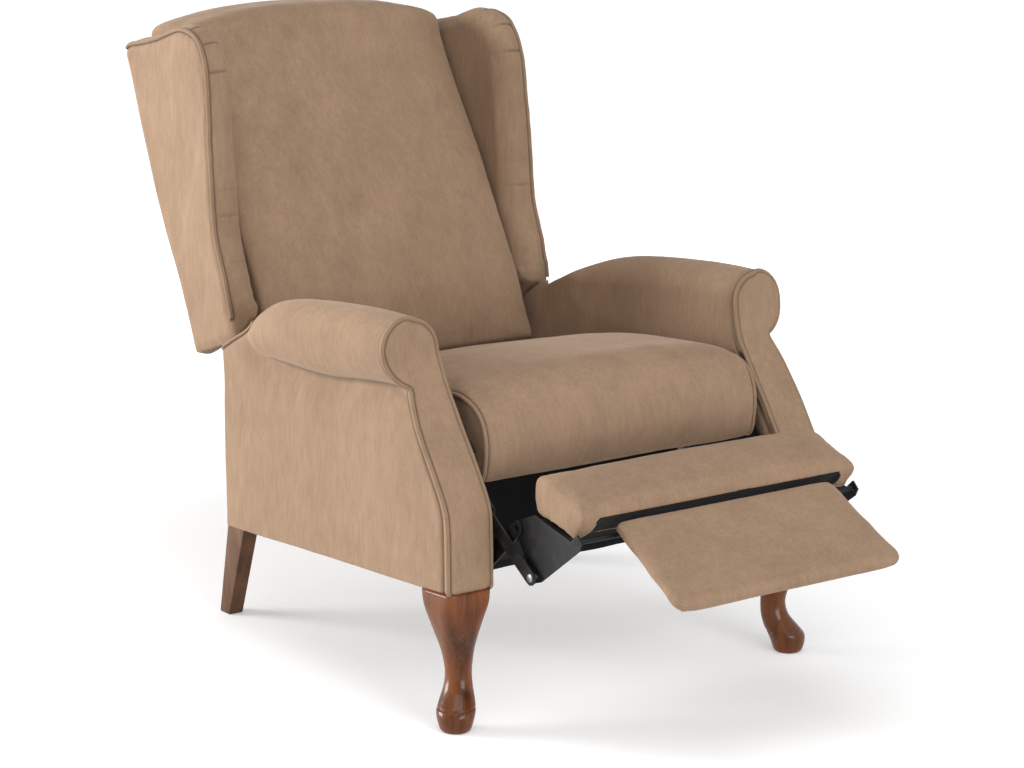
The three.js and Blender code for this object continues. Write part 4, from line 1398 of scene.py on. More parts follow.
    def edge_line(self, inset: float, back_off: float) -> np.ndarray:
        """A line round the left facing's edge, from the inner foot over the roll to the outer foot.

        Args:
            inset: How far inside the facing's outline it runs.
            back_off: How far behind the facing's front it runs.

        Returns:
            The line's points.
        """
        flat = np.vstack([self.halves()[0], self.halves()[1][::-1][1:]])
        crown = int(np.argmax(flat[:, 1]))
        inner = np.clip((crown - np.arange(len(flat))) / 12 + 0.5, 0, 1)
        depth = inset + self.cord_inset * inner
        inside = flat - outward(flat) * depth[:, None]
        inside[0], inside[-1] = flat[0] + (depth[0], 1.5), flat[-1] + (-depth[-1], 1.5)
        line = spot(-inside[:, 0], self.front_at(flat[:, 1]) - back_off * (1 - 0.85 * inner), inside[:, 1])
        return evenly(line, 240)

    def roll_crease(self) -> np.ndarray:
        """The line where the left roll's padding meets the panel under it.

        Returns:
            The line's points.
        """
        ways = np.linspace(0.27, 1.0, 160)
        drop, rolled = (read_table(self.stations, ways, column) for column in (1, 2))
        top = between(self.roll_top, self.low_front, drop)
        low = top - 2 * self.roll_radius - read_table(self.droops, ways) + 2.0
        forward = between(self.rear, self.roll_front, ways)
        low = low + 72.0 * (1 - rolled)
        return spot(-(self.outer - self.neck + 2.0), forward, low)

    def shoulder_line(self, cover: Any) -> np.ndarray:
        """A line along the left arm's rear shoulder up to where its roll starts."""
        rows = np.asarray(self.shoulder, float)
        return laid_on(evenly(spot(-(self.outer + 1), rows[:, 0], rows[:, 1]), 40), cover, 0.8)

    def tail_panel(self) -> Any:
        """The padded cloth that fills the gap between the left arm's inner face and the back.

        It keeps inside a circle round the back's hinge, so that the wing passes it.

        Returns:
            The tail.
        """
        start, end = self.rear + self.tail_span[0], self.rear + self.tail_span[1]
        forward = np.linspace(start, end, 18)
        high = self.hinge[1] + np.sqrt(self.tail_reach**2 - (forward - self.hinge[0]) ** 2)
        foot = [(end, self.tail_foot), (start + 8.0, self.tail_foot)]
        outline = evenly(np.vstack([np.stack([forward, high], axis=1), foot]), 90, True)
        rings = []
        for x, inset in self.tail_sheets:
            flat = outline - outward(outline) * inset
            rings.append(spot(-x, flat[:, 0], flat[:, 1]))
        return skin("left_arm_tail", rings)

    def build(self) -> None:
        """Makes both arms and their piping."""
        shop, finish = self.shop, self.shop.finishes
        cover, panel, tail = self.body(), self.facing_panel(), self.tail_panel()
        edge, shoulder = self.edge_line(0.2, 3.6), self.shoulder_line(cover)
        groove(groove(cover, edge, 1.6, 6.0), shoulder, 1.6)
        # Painted shade: a dark line along the crease under the roll, where the padding meets the panel.
        paint_shade(cover, 0.75 * np.clip((8.0 - distance_to(cover, self.roll_crease())) / 6.0, 0, 1))
        groove(panel, edge, 1.2)
        for side in Side:
            for piece, part, fill in ((cover, "upholstery", 0.8), (panel, "facing", 0.7), (tail, "", None)):
                if side is Side.RIGHT:
                    piece = mirrored(piece, piece.name.replace("left", "right"))
                nodes = [f"arm_{part}_{side.word}"] if part else []
                shop.hang(piece, "base", finish.velvet, Slot.UPHOLSTERY, nodes, fill)
            flip = np.array([-side.value, 1, 1])
            shop.welt(f"{side.word}_facing_piping", edge * flip, "base", self.welt_radius)
            shop.welt(f"{side.word}_shoulder_piping", shoulder * flip, "base", self.thin_welt_radius)


# The legs


@dataclass
class Legs:
    """Cabriole front legs and raked rear legs.

    The profile's rows are height share, outward lean and width as shares of half the top, and squareness.
    """

    shop: Workshop
    arms: Arms
    centre_x: float = 310.0
    half_top: float = 38.0
    ring_at: float = 0.16
    ring_deep: float = 0.035
    trimmed: float = 0.97
    gap: float = 0.3
    bevel: float = 2.2
    profile: Table = (
        (0, 0.28, 0.5, 2), (0.02, 0.28, 0.6, 2), (0.08, 0.27, 0.7, 2), (0.14, 0.18, 0.75, 2),
        (0.205, -0.06, 0.68, 2), (0.285, -0.29, 0.565, 2), (0.38, -0.37, 0.515, 2), (0.49, -0.29, 0.565, 2.1),
        (0.6, -0.13, 0.67, 2.3), (0.725, 0.06, 0.815, 3), (0.84, 0.14, 0.95, 4), (0.92, 0.12, 1, 6),
        (1, 0.1, 1, 8),
    )

    def front_leg(self, side: Side) -> Any:
        """One smooth cabriole leg under its arm's front corner.

        Args:
            side: The leg's side.

        Returns:
            The leg, whose head follows the slope of the arm's underside.
        """
        centre = self.arms.front - self.half_top
        top = self.arms.underside(centre) - self.gap
        line = curve_through(self.profile, 8)
        rises = np.sort(np.concatenate([np.linspace(0, 1, 90), self.ring_at + np.linspace(-0.012, 0.012, 9)]))
        angle = np.linspace(0, math.tau, 64, endpoint=False)
        rings = []
        for rise in rises:
            shift, width, power = (np.interp(rise, line[:, 0], line[:, k]) for k in (1, 2, 3))
            power = max(power, 2.0)
            width -= self.ring_deep * math.exp(-(((rise - self.ring_at) / 0.005) ** 2))
            c, s = np.cos(angle), np.sin(angle)
            radius = width * self.half_top / (np.abs(c) ** power + np.abs(s) ** power) ** (1 / power)
            out = shift * self.half_top * math.sqrt(0.5)
            height = np.full(len(angle), rise * top)
            forward = centre + out + radius * s
            if rise > self.trimmed:
                slope = self.arms.underside(forward) - self.arms.underside(centre)
                height = height + slope * (rise - self.trimmed) / (1 - self.trimmed)
            rings.append(spot(side.value * (self.centre_x + out + radius * c), forward, height))
        return skin(f"{side.word}_front_leg", rings)

    def build(self) -> None:
        """Makes the four legs."""
        shop, finish = self.shop, self.shop.finishes
        for side in Side:
            front = self.front_leg(side)
            shop.hang(front, "base", finish.front_wood, Slot.FRONT_LEG, [f"front_leg_{side.word}"])
            rear = copy_of_node(f"rear_leg_{side.word}", f"{side.word}_rear_leg")
            eased(rear, self.bevel, 3, 30.0).harden_normals = True
            shop.hang(settle(rear), "base", finish.rear_wood, Slot.REAR_LEG, [f"rear_leg_{side.word}"])


def copy_of_node(node: str, name: str) -> Any:
    """A merged copy of a CAD node's mesh.

    Args:
        node: The node.
        name: The copy's name.

    Returns:
        The copy.
    """
    piece = bpy.data.objects.new(name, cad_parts[node].data.copy())
    piece.data.name = name
    bpy.context.scene.collection.objects.link(piece)
    bm = bmesh.new()
    bm.from_mesh(piece.data)
    bmesh.ops.remove_doubles(bm, verts=bm.verts, dist=MERGE)
    flat = [e for e in bm.edges if len(e.link_faces) == 2 and e.calc_face_angle(0) < 0.01]
    bmesh.ops.dissolve_edges(bm, edges=flat, use_verts=False)
    bm.to_mesh(piece.data)
    bm.free()
    piece.data.shade_smooth()
    return piece


def eased(piece: Any, width: float, segments: int, angle: float) -> Any:
    """Eases a piece's sharp edges by a live modifier.

    Args:
        piece: The piece.
        width: The bevel's width.
        segments: How many faces it has across.
        angle: The least angle of an edge that counts as sharp, in degrees.

    Returns:
        The modifier.
    """
    modifier = piece.modifiers.new("eased_edges", "BEVEL")
    modifier.width, modifier.segments = width * MM, segments
    modifier.limit_method, modifier.angle_limit = "ANGLE", math.radians(angle)
    return modifier


# The seat


@dataclass
class Cushion:
    """A cushion's side outline and how it swells towards the chair's middle."""

    outline: np.ndarray
    half_width: float
    crown: Any
    end_round: float

    def ring(self, x: float, away: float, swell: float) -> np.ndarray:
        """The outline at a side place.

        Args:
            x: The side place.
            away: How far it is moved outwards.
            swell: The share of the crown that it has.

        Returns:
            The outline's points.
        """
        flat = self.outline[:, :2]
        moved = flat + outward(flat) * (away + self.outline[:, 2] * swell * self.crown)[:, None]
        return spot(x, moved[:, 0], moved[:, 1])

    def skin(self, name: str) -> Any:
        """The whole cushion.

        Args:
            name: The piece's name.

        Returns:
            A closed skin, rounded at both ends.
        """
        rings = []
        for share in np.sin(np.linspace(-math.pi / 2, math.pi / 2, 34)):
            away = abs(share) * self.half_width
            edge = np.clip((self.half_width - away) / self.end_round, 0, 1)
            inset = -self.end_round * (1 - (1 - (1 - edge) ** 2) ** 0.5)
            swell = (1 - abs(share) ** 2.4) ** 0.8 if abs(share) < 1 else 0.0
            rings.append(self.ring(share * self.half_width, inset, swell))
        return skin(name, rings)


def smooth_outline(rows: np.ndarray, count: int, sharp: Sequence[int]) -> np.ndarray:
    """A closed outline smoothed between its rows, with chosen corners kept sharp.

    Args:
        rows: The outline's rows.
        count: How many points the outline gets.
        sharp: The rows that stay corners, in order.

    Returns:
        The outline's points, evenly spaced.
    """
    runs = []
    marks = [*sharp, sharp[0] + len(rows)]
    ring = np.vstack([rows, rows])
    for a, b in zip(marks[:-1], marks[1:]):
        part = ring[a : b + 1]
        runs.append(curve_through(part, 8)[:-1] if len(part) > 2 else part[:-1])
    return evenly(np.vstack(runs), count, True)


def hanging_cloth(name: str, half: float, rear: float, front: float, low: float, high: float) -> Any:
    """A flat strip of cloth across the chair, with eased ends.

    Args:
        name: The piece's name.
        half: Half its length.
        rear: The forward place of its rear face.
        front: The forward place of its front face.
        low: The height of its foot.
        high: The height of its head.

    Returns:
        The strip.
    """
    rings = []
    for x, inset in ((-half, 1.2), (-half + 1.5, 0.0), (half - 1.5, 0.0), (half, 1.2)):
        near, far, foot, head = front - inset, rear + inset, low + inset, high - inset
        rings.append(spot(x, [near, near, far, far], [foot, head, head, foot]))
    return skin(name, rings)


@dataclass
class Seat:
    """The seat cushion with its end piping, and the flap behind it.

    The shares are rows of depth share, height share and the share of the crown's swell.
    """

    shop: Workshop
    half_width: float = 257.0
    tail: float = -276.0
    nose: float = 286.0
    drop: float = 343.0
    top: float = 471.0
    base_rear: float = 352.0
    base_front: float = 388.0
    base_span: tuple[float, float] = (-236.0, 246.0)
    base_gap: float = 5.0
    crown: float = 28.0
    welt_radius: float = 3.2
    welt_inset: float = 2.0
    flap_low: float = 347.0
    flap_high: float = 391.0
    shares: Table = (
        (0.05, 0.1, 0), (0, 0.35, 0), (0.03, 0.5, 0.2), (0.16, 0.586, 0.5), (0.4, 0.773, 0.8),
        (0.52, 0.862, 0.92), (0.62, 0.935, 1), (0.8, 0.99, 0.9), (0.89, 1, 0.8), (0.955, 0.9, 0.5),
        (0.99, 0.71, 0.3), (1, 0.49, 0.2), (0.995, 0.26, 0.1), (0.985, 0.06, 0), (0.96, 0, 0),
        (0.938, 0.06, 0), (0.932, 0.39, 0),
    )

    def base(self, forward: Any) -> Any:
        """The height of the cushion's flat underside over the springs at a forward place."""
        start, end = self.base_span
        return between(self.base_rear, self.base_front, (forward - start) / (end - start)) + self.base_gap

    def shape(self) -> Cushion:
        """The cushion's outline and swell.

        Returns:
            The cushion, with its flat foot on the springs.
        """
        rows = fitted(self.shares, self.tail, self.nose, self.drop, self.top)
        rows[[0, -1], 1] = self.base(rows[[0, -1], 0])
        return Cushion(smooth_outline(rows, 180, (0, len(rows) - 1)), self.half_width, self.crown, 9.0)

    def lines(self, p: np.ndarray, n: np.ndarray) -> np.ndarray:
        """The soft folds that fan out at the cushion's front ends.

        Args:
            p: The cover's places, in millimetres.
            n: Its normals.

        Returns:
            The move of each place.
        """
        forward = SHIFT - p[:, 1]
        ends = np.clip((np.abs(p[:, 0]) - 170) / 80, 0, 1)
        fan = np.cos(forward / 13 + cloud(p, 60, 4) * 2.2) * ends * np.clip((forward - 150) / 90, 0, 1)
        return 0.8 * fan + 0.5 * cloud(p, 35, 9) * ends

    def build(self) -> None:
        """Makes the cushion, its piping and the flap."""
        shop, finish = self.shop, self.shop.finishes
        shape = self.shape()
        stuffing = Stuffing(voxel=6.0, smoothing=5, pressure=4.0, swell=5.0)
        piece = ripple(stuffing.fill(stuffing.cover(shape.skin("seat_cushion_cover"))), self.lines)
        soft_dents(subdivide(piece), 1.1, 120.0, 3)
        half, rear = self.half_width - 7.0, self.tail - 6.0
        flap = hanging_cloth("seat_rear_flap", half, rear, rear + 3.0, self.flap_low, self.flap_high)
        shop.hang(flap, "seat", finish.velvet, Slot.UPHOLSTERY)
        ring = shape.ring(0, -self.welt_inset, 0.0)
        height, forward = ring[:, 2] / MM, SHIFT - ring[:, 1] / MM
        over = (height > self.base(forward) + 8) & (forward > self.tail + 8)
        shown = over | (forward > self.nose - 38) & (height > self.drop + 2)
        start = int(np.argmax(~shown))
        keep = np.roll(shown, -start)
        for side in Side:
            line = np.roll(ring, -start, axis=0)[keep]
            line[:, 0] = side.value * (self.half_width - self.welt_inset) * MM
            cord = laid_on(line, piece, 1.6)
            groove(piece, cord, 1.6)
            shop.welt(f"seat_{side.word}_piping", cord, "seat", self.welt_radius)
        shop.hang(piece, "seat", finish.velvet, Slot.UPHOLSTERY, ["seat_cushion"], fill=0.75)


@dataclass
class Springs:
    """The sinuous springs of the seat and the back."""

    shop: Workshop
    wire: float = 4.4
    swing: float = 26.0
    waves: int = 7

    def wavy(self, start: np.ndarray, end: np.ndarray) -> np.ndarray:
        """A wire that swings from side to side.

        Args:
            start: Where it starts.
            end: Where it ends.

        Returns:
            The wire's points.
        """
        steps = self.waves * 2
        bends = []
        for i in range(steps + 1):
            side = 0 if i in (0, steps) else (i % 2) * 2 - 1
            bends.append(between(start, end, i / steps) + np.array([side * self.swing * MM, 0, 0]))
        return evenly(curve_through(bends, 10), 150)

    def build(self) -> None:
        """Replaces each CAD spring by a round wire on the same line."""
        half, steel = self.wire / 2 * MM, self.shop.finishes.steel
        for body, count in (("seat", 4), ("back", 2)):
            for i in range(1, count + 1):
                node = f"{body}_spring_{i}"
                low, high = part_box(node)
                x = (low.x + high.x) / 2
                if body == "seat":
                    start, end = np.array([x, low.y, low.z + half]), np.array([x, high.y, low.z + half])
                else:
                    start = np.array([x, low.y + half, low.z + half])
                    end = np.array([x, high.y - half, high.z - half])
                wire = self.wavy(start, end)
                self.shop.tube(f"wire_{node}", wire, self.wire / 2, body, steel, Slot.SPRING, [node])


# The back and the wings


@dataclass
class Back:
    """The back cushion, the outside back and the frame behind them."""

    shop: Workshop
    half_width: float = 256.0
    foot: float = 396.0
    head: float = 935.0
    front_foot: float = -276.0
    front_head: float = -548.0
    rear_head: float = -670.0
    lip: float = 904.0
    let: float = 11.0
    stile: Table = ((-392, 345), (-640, 895))
    stile_depth: float = 50.0
    skirt_low: float = 385.0
    skirt_high: float = 429.0
    apron_foot: float = 340.0
    apron_line: Table = ((-46, 92), (-32, 60), (-17, 28), (-5, 3), (9, -0.4), (46, 0))
    apron_thick: float = 2.6
    crown_low: float = 20.0
    crown_high: float = 30.0
    front_shares: Table = (
        (0, 0.03, 0.2), (0.077, 0.11, 0.5), (0.158, 0.213, 0.7), (0.26, 0.31, 0.9), (0.368, 0.406, 1),
        (0.474, 0.5, 1), (0.581, 0.594, 1), (0.691, 0.681, 1), (0.798, 0.766, 1), (0.9, 0.855, 0.9),
        (0.988, 0.935, 0.8),
    )
    top_shares: Table = (
        (0.115, 0.02, 1), (0.34, 0, 1), (0.67, 0, 1), (0.92, 0.18, 0.9), (1, 0.45, 0.6), (0.94, 0.62, 0),
    )

    def frame_front(self, height: float) -> float:
        """The forward place of the cushion's rear face at a height."""
        (low_back, low), (high_back, high) = self.stile
        return between(low_back, high_back, (height - low) / (high - low)) + self.stile_depth

    def shape(self) -> Cushion:
        """The cushion's outline and swell.

        Returns:
            The cushion, with its flat rear on the frame.
        """
        front = fitted(self.front_shares, self.front_foot, self.front_head, self.foot, self.head)
        roll = fitted(self.top_shares, self.front_head, self.rear_head, self.head, self.lip - self.let)
        roll[-1, 1] = self.lip
        rear = np.array([[self.frame_front(h), h, 0] for h in (self.lip, self.foot + self.let)])
        rows = np.vstack([front, roll, rear])
        count = len(rows)
        outline = smooth_outline(rows, 240, (0, count - 3, count - 2, count - 1))
        rise = np.clip((outline[:, 1] - self.foot) / (self.head - self.foot), 0, 1)
        return Cushion(outline, self.half_width, between(self.crown_low, self.crown_high, rise), 8.0)

    def apron(self) -> Any:
        """The cloth drawn from the outside back over the frame's bottom rail and tacked under it.

        Returns:
            The apron.
        """
        foot = np.array([self.stile[0][0], self.apron_foot])
        outer = curve_through(foot + np.array(self.apron_line), 5)
        thick = self.apron_thick * outward(np.vstack([outer, outer[::-1] + (1.0, 6.0)]))[: len(outer)]
        half, rings = self.half_width, []
        for x, thin in ((-half - 1, 0.4), (-half, 0.0), (half, 0.0), (half + 1, 0.4)):
            flat = np.vstack([outer - thick * thin, (outer - thick * (1 - thin))[::-1]])
            rings.append(spot(x, flat[:, 0], flat[:, 1]))
        return skin("outside_back_apron", rings, len(rings[0]))

    def skirt(self) -> Any:
        """The cloth that hangs from the cushion's lower edge behind the seat."""
        half, rear = self.half_width - 8.0, self.front_foot - 13.0
        return hanging_cloth("back_skirt", half, rear, rear + 4.0, self.skirt_low, self.skirt_high)

    def build(self) -> None:
        """Makes the cushion and the outside back."""
        shop, finish = self.shop, self.shop.finishes
        stuffing = Stuffing(voxel=6.9, smoothing=4, pressure=4.0, swell=4.0)
        piece = stuffing.fill(stuffing.cover(self.shape().skin("back_cushion_cover")))
        soft_dents(subdivide(piece), 1.3, 150.0, 6)
        shop.hang(piece, "back", finish.velvet, Slot.UPHOLSTERY, ["back_cushion"], fill=0.7)
        panel = copy_of_node("outside_back_panel", "outside_back_cover")
        Stuffing(voxel=3.4, smoothing=3, pressure=0).cover(panel)
        soft_dents(panel, 0.5, 120.0, 8)
        shop.hang(panel, "back", finish.velvet, Slot.UPHOLSTERY, ["outside_back_panel"])
        shop.hang(self.skirt(), "back", finish.velvet, Slot.UPHOLSTERY)
        shop.hang(self.apron(), "back", finish.velvet, Slot.UPHOLSTERY)
        rail = copy_of_node("rear_rail", "rear_rail_cover")
        Stuffing(voxel=3.4, smoothing=3, pressure=0).cover(rail)
        shop.hang(soft_dents(rail, 0.4, 90.0, 9), "base", finish.velvet, Slot.UPHOLSTERY, ["rear_rail"])


@dataclass
class Wings:
    """The two wings, each a bowed side with a crowned band in front and a piped outer edge.

    Layers are rows of way from the inner to the outer face, and shares of the hem, the crown and the rounded
    front. Creases are rows of rear place and height, front place and height, and depth.
    """

    shop: Workshop
    inner: float = 258.0
    outer: float = 305.0
    flare: float = 14.0
    rear: float = -658.0
    front: float = -311.0
    low: float = 423.0
    high: float = 949.0
    shares: Table = (
        (1, 0.15), (0.974, 0.203), (0.937, 0.26), (0.899, 0.321), (0.859, 0.39), (0.841, 0.479),
        (0.83, 0.565), (0.813, 0.679), (0.798, 0.789), (0.784, 0.859), (0.755, 0.916), (0.697, 0.968),
        (0.622, 0.992), (0.527, 1), (0.432, 0.985), (0.337, 0.966), (0.239, 0.952), (0.147, 0.941),
        (0.063, 0.932), (0.017, 0.916), (0.003, 0.888), (0.124, 0.677), (0.277, 0.439), (0.467, 0.205),
        (0.599, 0), (0.801, 0.076),
    )
    layers: Table = (
        (0, -0.5, 0, -1), (0.05, -0.2, 0, -0.66), (0.13, 0, 0.2, -0.38), (0.27, 0, 0.6, -0.13),
        (0.5, 0, 1, 0), (0.88, 0, 0, 0), (0.97, -0.15, 0, 0), (1, -0.4, 0, 0),
    )
    hem: float = 9.0
    crown: float = 5.0
    front_round: float = 22.0
    tail_drop: float = 28.0
    tail_rear: float = -450.0
    tail_front: float = 502.0
    edge_heights: tuple[float, float] = (526.0, 905.0)
    # How deep each vertex lies in a tuck, kept for the painted shade in the tucks.
    drawn: Optional[np.ndarray] = None
    welt_radius: float = 3.4
    creases: Table = (
        (-456, 916, -451, 953, 2.4), (-434, 908, -405, 932, 2.6), (-418, 872, -381, 886, 2.4),
        (-386, 698, -360, 700, 0.9), (-396, 655, -355, 660, 1.7), (-362, 579, -338, 589, 0.8),
    )

    def outline(self) -> np.ndarray:
        """The wing's side outline.

        Returns:
            Rows of forward place, height, depth share and height share.
        """
        rows = np.asarray(self.shares, float)
        forward, height = between(self.rear, self.front, rows[:, 0]), between(self.low, self.high, rows[:, 1])
        sides = np.stack([forward, height], axis=1)
        return smooth_outline(np.hstack([sides, rows]), 240, (0, 20, 24))

    def layer(self, way: float, grow: float = 0.0) -> np.ndarray:
        """The left wing's outline on the way from its inner to its outer face.

        Args:
            way: The share of the way.
            grow: How far it is moved outwards.

        Returns:
            The outline's points.
        """
        rows = self.outline()
        hem, crown, front = (read_table(self.layers, way, column) for column in (1, 2, 3))
        depth = np.clip(rows[:, 2], 0, 1)
        growth = hem * self.hem + crown * self.crown + front * self.front_round * depth + grow
        flat = rows[:, :2] + outward(rows[:, :2]) * growth[:, None]
        bow = self.flare * np.sin(math.pi * np.clip(rows[:, 3], 0, 1)) * depth**2
        edge = np.interp(rows[:, 0], (self.tail_rear, self.front), (self.low, self.tail_front))
        near = np.clip(1 - (rows[:, 1] - edge) / 80.0, 0, 1)
        near = near * np.clip((rows[:, 0] - self.tail_rear) / 100.0, 0, 1)
        flat[:, 1] -= self.tail_drop * near * smoothly(np.clip((way - 0.4) / 0.6, 0, 1))
        return spot(-between(self.inner, self.outer + bow, way), flat[:, 0], flat[:, 1])

    def tucks(self, p: np.ndarray, n: np.ndarray) -> np.ndarray:
        """The tucks, whose depth is also kept in drawn for the painted shade in them, and the slight gathers
        of the band.

        Args:
            p: The cover's places, in millimetres.
            n: Its normals.

        Returns:
            The move of each place.
        """
        forward, height = SHIFT - p[:, 1], p[:, 2]
        drawn = np.zeros(len(p))
        for rear, low, front, high, deep in self.creases:
            along = np.array([front - rear, high - low])
            share = ((forward - rear) * along[0] + (height - low) * along[1]) / (along @ along)
            share = np.clip(share, 0, 1)
            off = np.hypot(height - between(low, high, share), forward - between(rear, front, share))
            drawn -= deep * np.exp(-((off / 2.7) ** 2)) * np.clip(share * 1.6, 0, 1)
        inside = np.clip((self.outer + 2 - np.abs(p[:, 0])) / 6, 0, 1)
        inside = inside * np.clip((np.abs(p[:, 0]) - self.inner + 6) / 30, 0.3, 1)
        band = np.clip((-n[:, 1] - 0.2) / 0.5, 0, 1)
        waves = np.cos(height / 7.5 + cloud(p, 24, 2) * 2.5)
        gather = 0.8 * np.exp(-(((height - 530) / 60) ** 2)) + 0.5 * np.exp(-(((height - 925) / 26) ** 2))
        self.drawn = np.clip(-drawn * inside / 2.4, 0, 1) ** 2
        return drawn * inside + band * waves * gather + 0.5 * cloud(p, 70, 12)

    def build(self) -> None:
        """Makes both wings and their piping."""
        shop, finish = self.shop, self.shop.finishes
        ways = np.concatenate([[0, 0.02, 0.05, 0.09], np.linspace(0.13, 0.88, 12), [0.92, 0.96, 0.98, 1]])
        stuffing = Stuffing(voxel=4.4, smoothing=1, pressure=3.0, swell=2.0, frames=14)
        left = stuffing.fill(stuffing.cover(skin("left_wing_cover", [self.layer(way) for way in ways])))
        # Painted shade: the tucks are darkened in the velvet's colour.
        paint_shade(ripple(subdivide(left), self.tucks), self.drawn * 0.7)
        rows = self.outline()
        start, end = self.edge_heights
        first = int(np.argmin(np.abs(rows[:, 0] - self.front) + np.abs(rows[:, 1] - start)))
        last = int(np.argmin(np.abs(rows[:, 0] - self.rear - 3) + np.abs(rows[:, 1] - end)))
        edge = laid_on(evenly(self.layer(1.0, 1.6)[first : last + 1], 200), left, 1.0)
        groove(left, edge, 1.2)
        for side in Side:
            cover = left if side is Side.LEFT else mirrored(left, "right_wing_cover")
            shop.hang(cover, "back", finish.velvet, Slot.UPHOLSTERY, [f"wing_{side.word}"], fill=0.75)
            line = edge * np.array([-side.value, 1, 1])
            shop.welt(f"{side.word}_wing_piping", line, "back", self.welt_radius)


# The footrest


@dataclass
class Footrest:
    """The ottoman pad with a black sheet of painted shade under its nose, and the flipper.

    The shares are rows of depth share, height share and the share of the crown's swell.
    """

    shop: Workshop
    half_width: float = 252.0
    rear: float = 396.0
    nose: float = 509.0
    low: float = 313.0
    high: float = 387.0
    board_rear: tuple[float, float] = (402.8, 333.0)
    board_front: tuple[float, float] = (486.4, 313.0)
    board_thick: float = 10.0
    board_gap: float = 1.2
    nose_rear: float = 478.0
    nose_rise: tuple[float, float] = (317.0, 348.0)
    nose_half: float = 232.0
    start: tuple[float, float] = (513.0, 341.0)
    slope: float = 29.0
    length: float = 176.0
    rear_half: float = 199.0
    front_half: float = 207.0
    thick: float = 21.0
    hollow_deep: float = 9.2
    # The black sheet of painted shade under the pad's nose: its half width, its forward span and its
    # thickness.
    lining_half: float = 226.0
    lining_span: tuple[float, float] = (480.0, 508.5)
    lining_thick: float = 1.4
    shares: Table = (
        (0.06, 0.27, 0), (0, 0.53, 0.3), (0, 0.86, 0.6), (0.06, 1, 0.9), (0.3, 0.96, 1), (0.62, 0.79, 1),
        (0.88, 0.63, 0.9), (1, 0.49, 0.3), (0.97, 0.32, 0), (0.8, 0, 0),
    )

    def gathers(self, p: np.ndarray, n: np.ndarray) -> np.ndarray:
        """The gathers at the pad's ends and the long folds of its nose.

        Args:
            p: The cover's places, in millimetres.
            n: Its normals.

        Returns:
            The move of each place.
        """
        forward, height = SHIFT - p[:, 1], p[:, 2]
        end = np.clip((np.abs(p[:, 0]) - 170) / 82, 0, 1) ** 1.5
        down = np.clip((370 - height) / 60, 0, 1)
        fan = np.cos((np.abs(p[:, 0]) * 0.55 + height * 0.9) / 6.0 + cloud(p, 30, 3) * 2)
        nose = np.clip((forward - 440) / 50, 0, 1)
        long_fold = np.cos(height / 9.0 + p[:, 0] / 150 + cloud(p, 90, 7) * 2.0) * nose
        return 1.3 * end * down * fan * nose + 0.55 * long_fold + 0.7 * cloud(p, 45, 11)

    def pad(self) -> Any:
        """The ottoman's padded cover.

        Returns:
            The cover, with its let-in underside.
        """
        rows = fitted(self.shares, self.rear, self.nose, self.low, self.high)
        outline = smooth_outline(rows, 150, (0, len(rows) - 1))
        shape = Cushion(outline, self.half_width + 2.0, 5.0, 5.0)
        stuffing = Stuffing(voxel=4.2, smoothing=2, pressure=4.0, swell=3.0)
        piece = ripple(stuffing.fill(stuffing.cover(shape.skin("ottoman_cover"))), self.gathers)
        subdivide(piece)
        self.raise_nose(piece)
        self.let_in(piece)
        return piece

    def raise_nose(self, piece: Any) -> None:
        """Draws the lower front edge up between the hanging corners.

        Args:
            piece: The pad's cover.
        """
        spots = places(piece)
        forward, height = SHIFT - spots[:, 1] / MM, spots[:, 2] / MM
        middle = np.clip((self.nose_half - np.abs(spots[:, 0] / MM)) / 16, 0, 1)
        share = np.clip((forward - self.nose_rear) / (self.nose - self.nose_rear), 0, 1)
        lift = np.maximum(between(*self.nose_rise, share) - height, 0) * smoothly(middle)
        spots[:, 2] += np.where(forward > self.nose_rear, lift, 0) * MM
        set_places(piece, spots)

    def let_in(self, piece: Any) -> None:
        """Lifts the underside clear of the board and its brackets.

        Args:
            piece: The pad's cover.
        """
        spots = places(piece)
        forward, height = SHIFT - spots[:, 1] / MM, spots[:, 2] / MM
        a, b = np.array(self.board_rear), np.array(self.board_front)
        along = (b - a) / np.linalg.norm(b - a)
        up = np.array([-along[1], along[0]])
        run = (forward - a[0]) * along[0] + (height - a[1]) * along[1]
        rise = (forward - a[0]) * up[0] + (height - a[1]) * up[1]
        length = np.linalg.norm(b - a)
        inside = (run > -4) & (run < length + 4) & (rise < 22)
        side = self.half_width - 8 - np.abs(spots[:, 0] / MM)
        edge = np.minimum(np.minimum(run - 8, length - 8 - run), side)
        floor = np.where(edge > 0, np.clip(edge * 1.6, 0, self.board_thick + self.board_gap), 0.0)
        lift = np.where(inside, np.maximum(floor - rise, 0), 0)
        lift = np.where(rise < 0.0, np.maximum(lift, -rise), lift) * inside
        spots[:, 1] -= lift * up[0] * MM
        spots[:, 2] += lift * up[1] * MM
        set_places(piece, spots)

    def on_flipper(self, x: Any, along: Any, rise: Any) -> np.ndarray:
        """Places on the flipper.

        Args:
            x: The side places.
            along: The places along its slope.
            rise: The heights over its upper face.

        Returns:
            The places.
        """
        slope = math.radians(self.slope)
        forward = self.start[0] + along * math.cos(slope) + rise * math.sin(slope)
        height = self.start[1] - along * math.sin(slope) + rise * math.cos(slope)
        return spot(x, forward, height)

    def dimples(self, p: np.ndarray, n: np.ndarray) -> np.ndarray:
        """The flipper's slight unevenness."""
        edge = np.clip((np.abs(p[:, 0]) - 150) / 55, 0, 1)
        return 0.5 * cloud(p, 55, 21) + 0.5 * edge * np.cos(p[:, 1] / 8 + cloud(p, 40, 3) * 2)

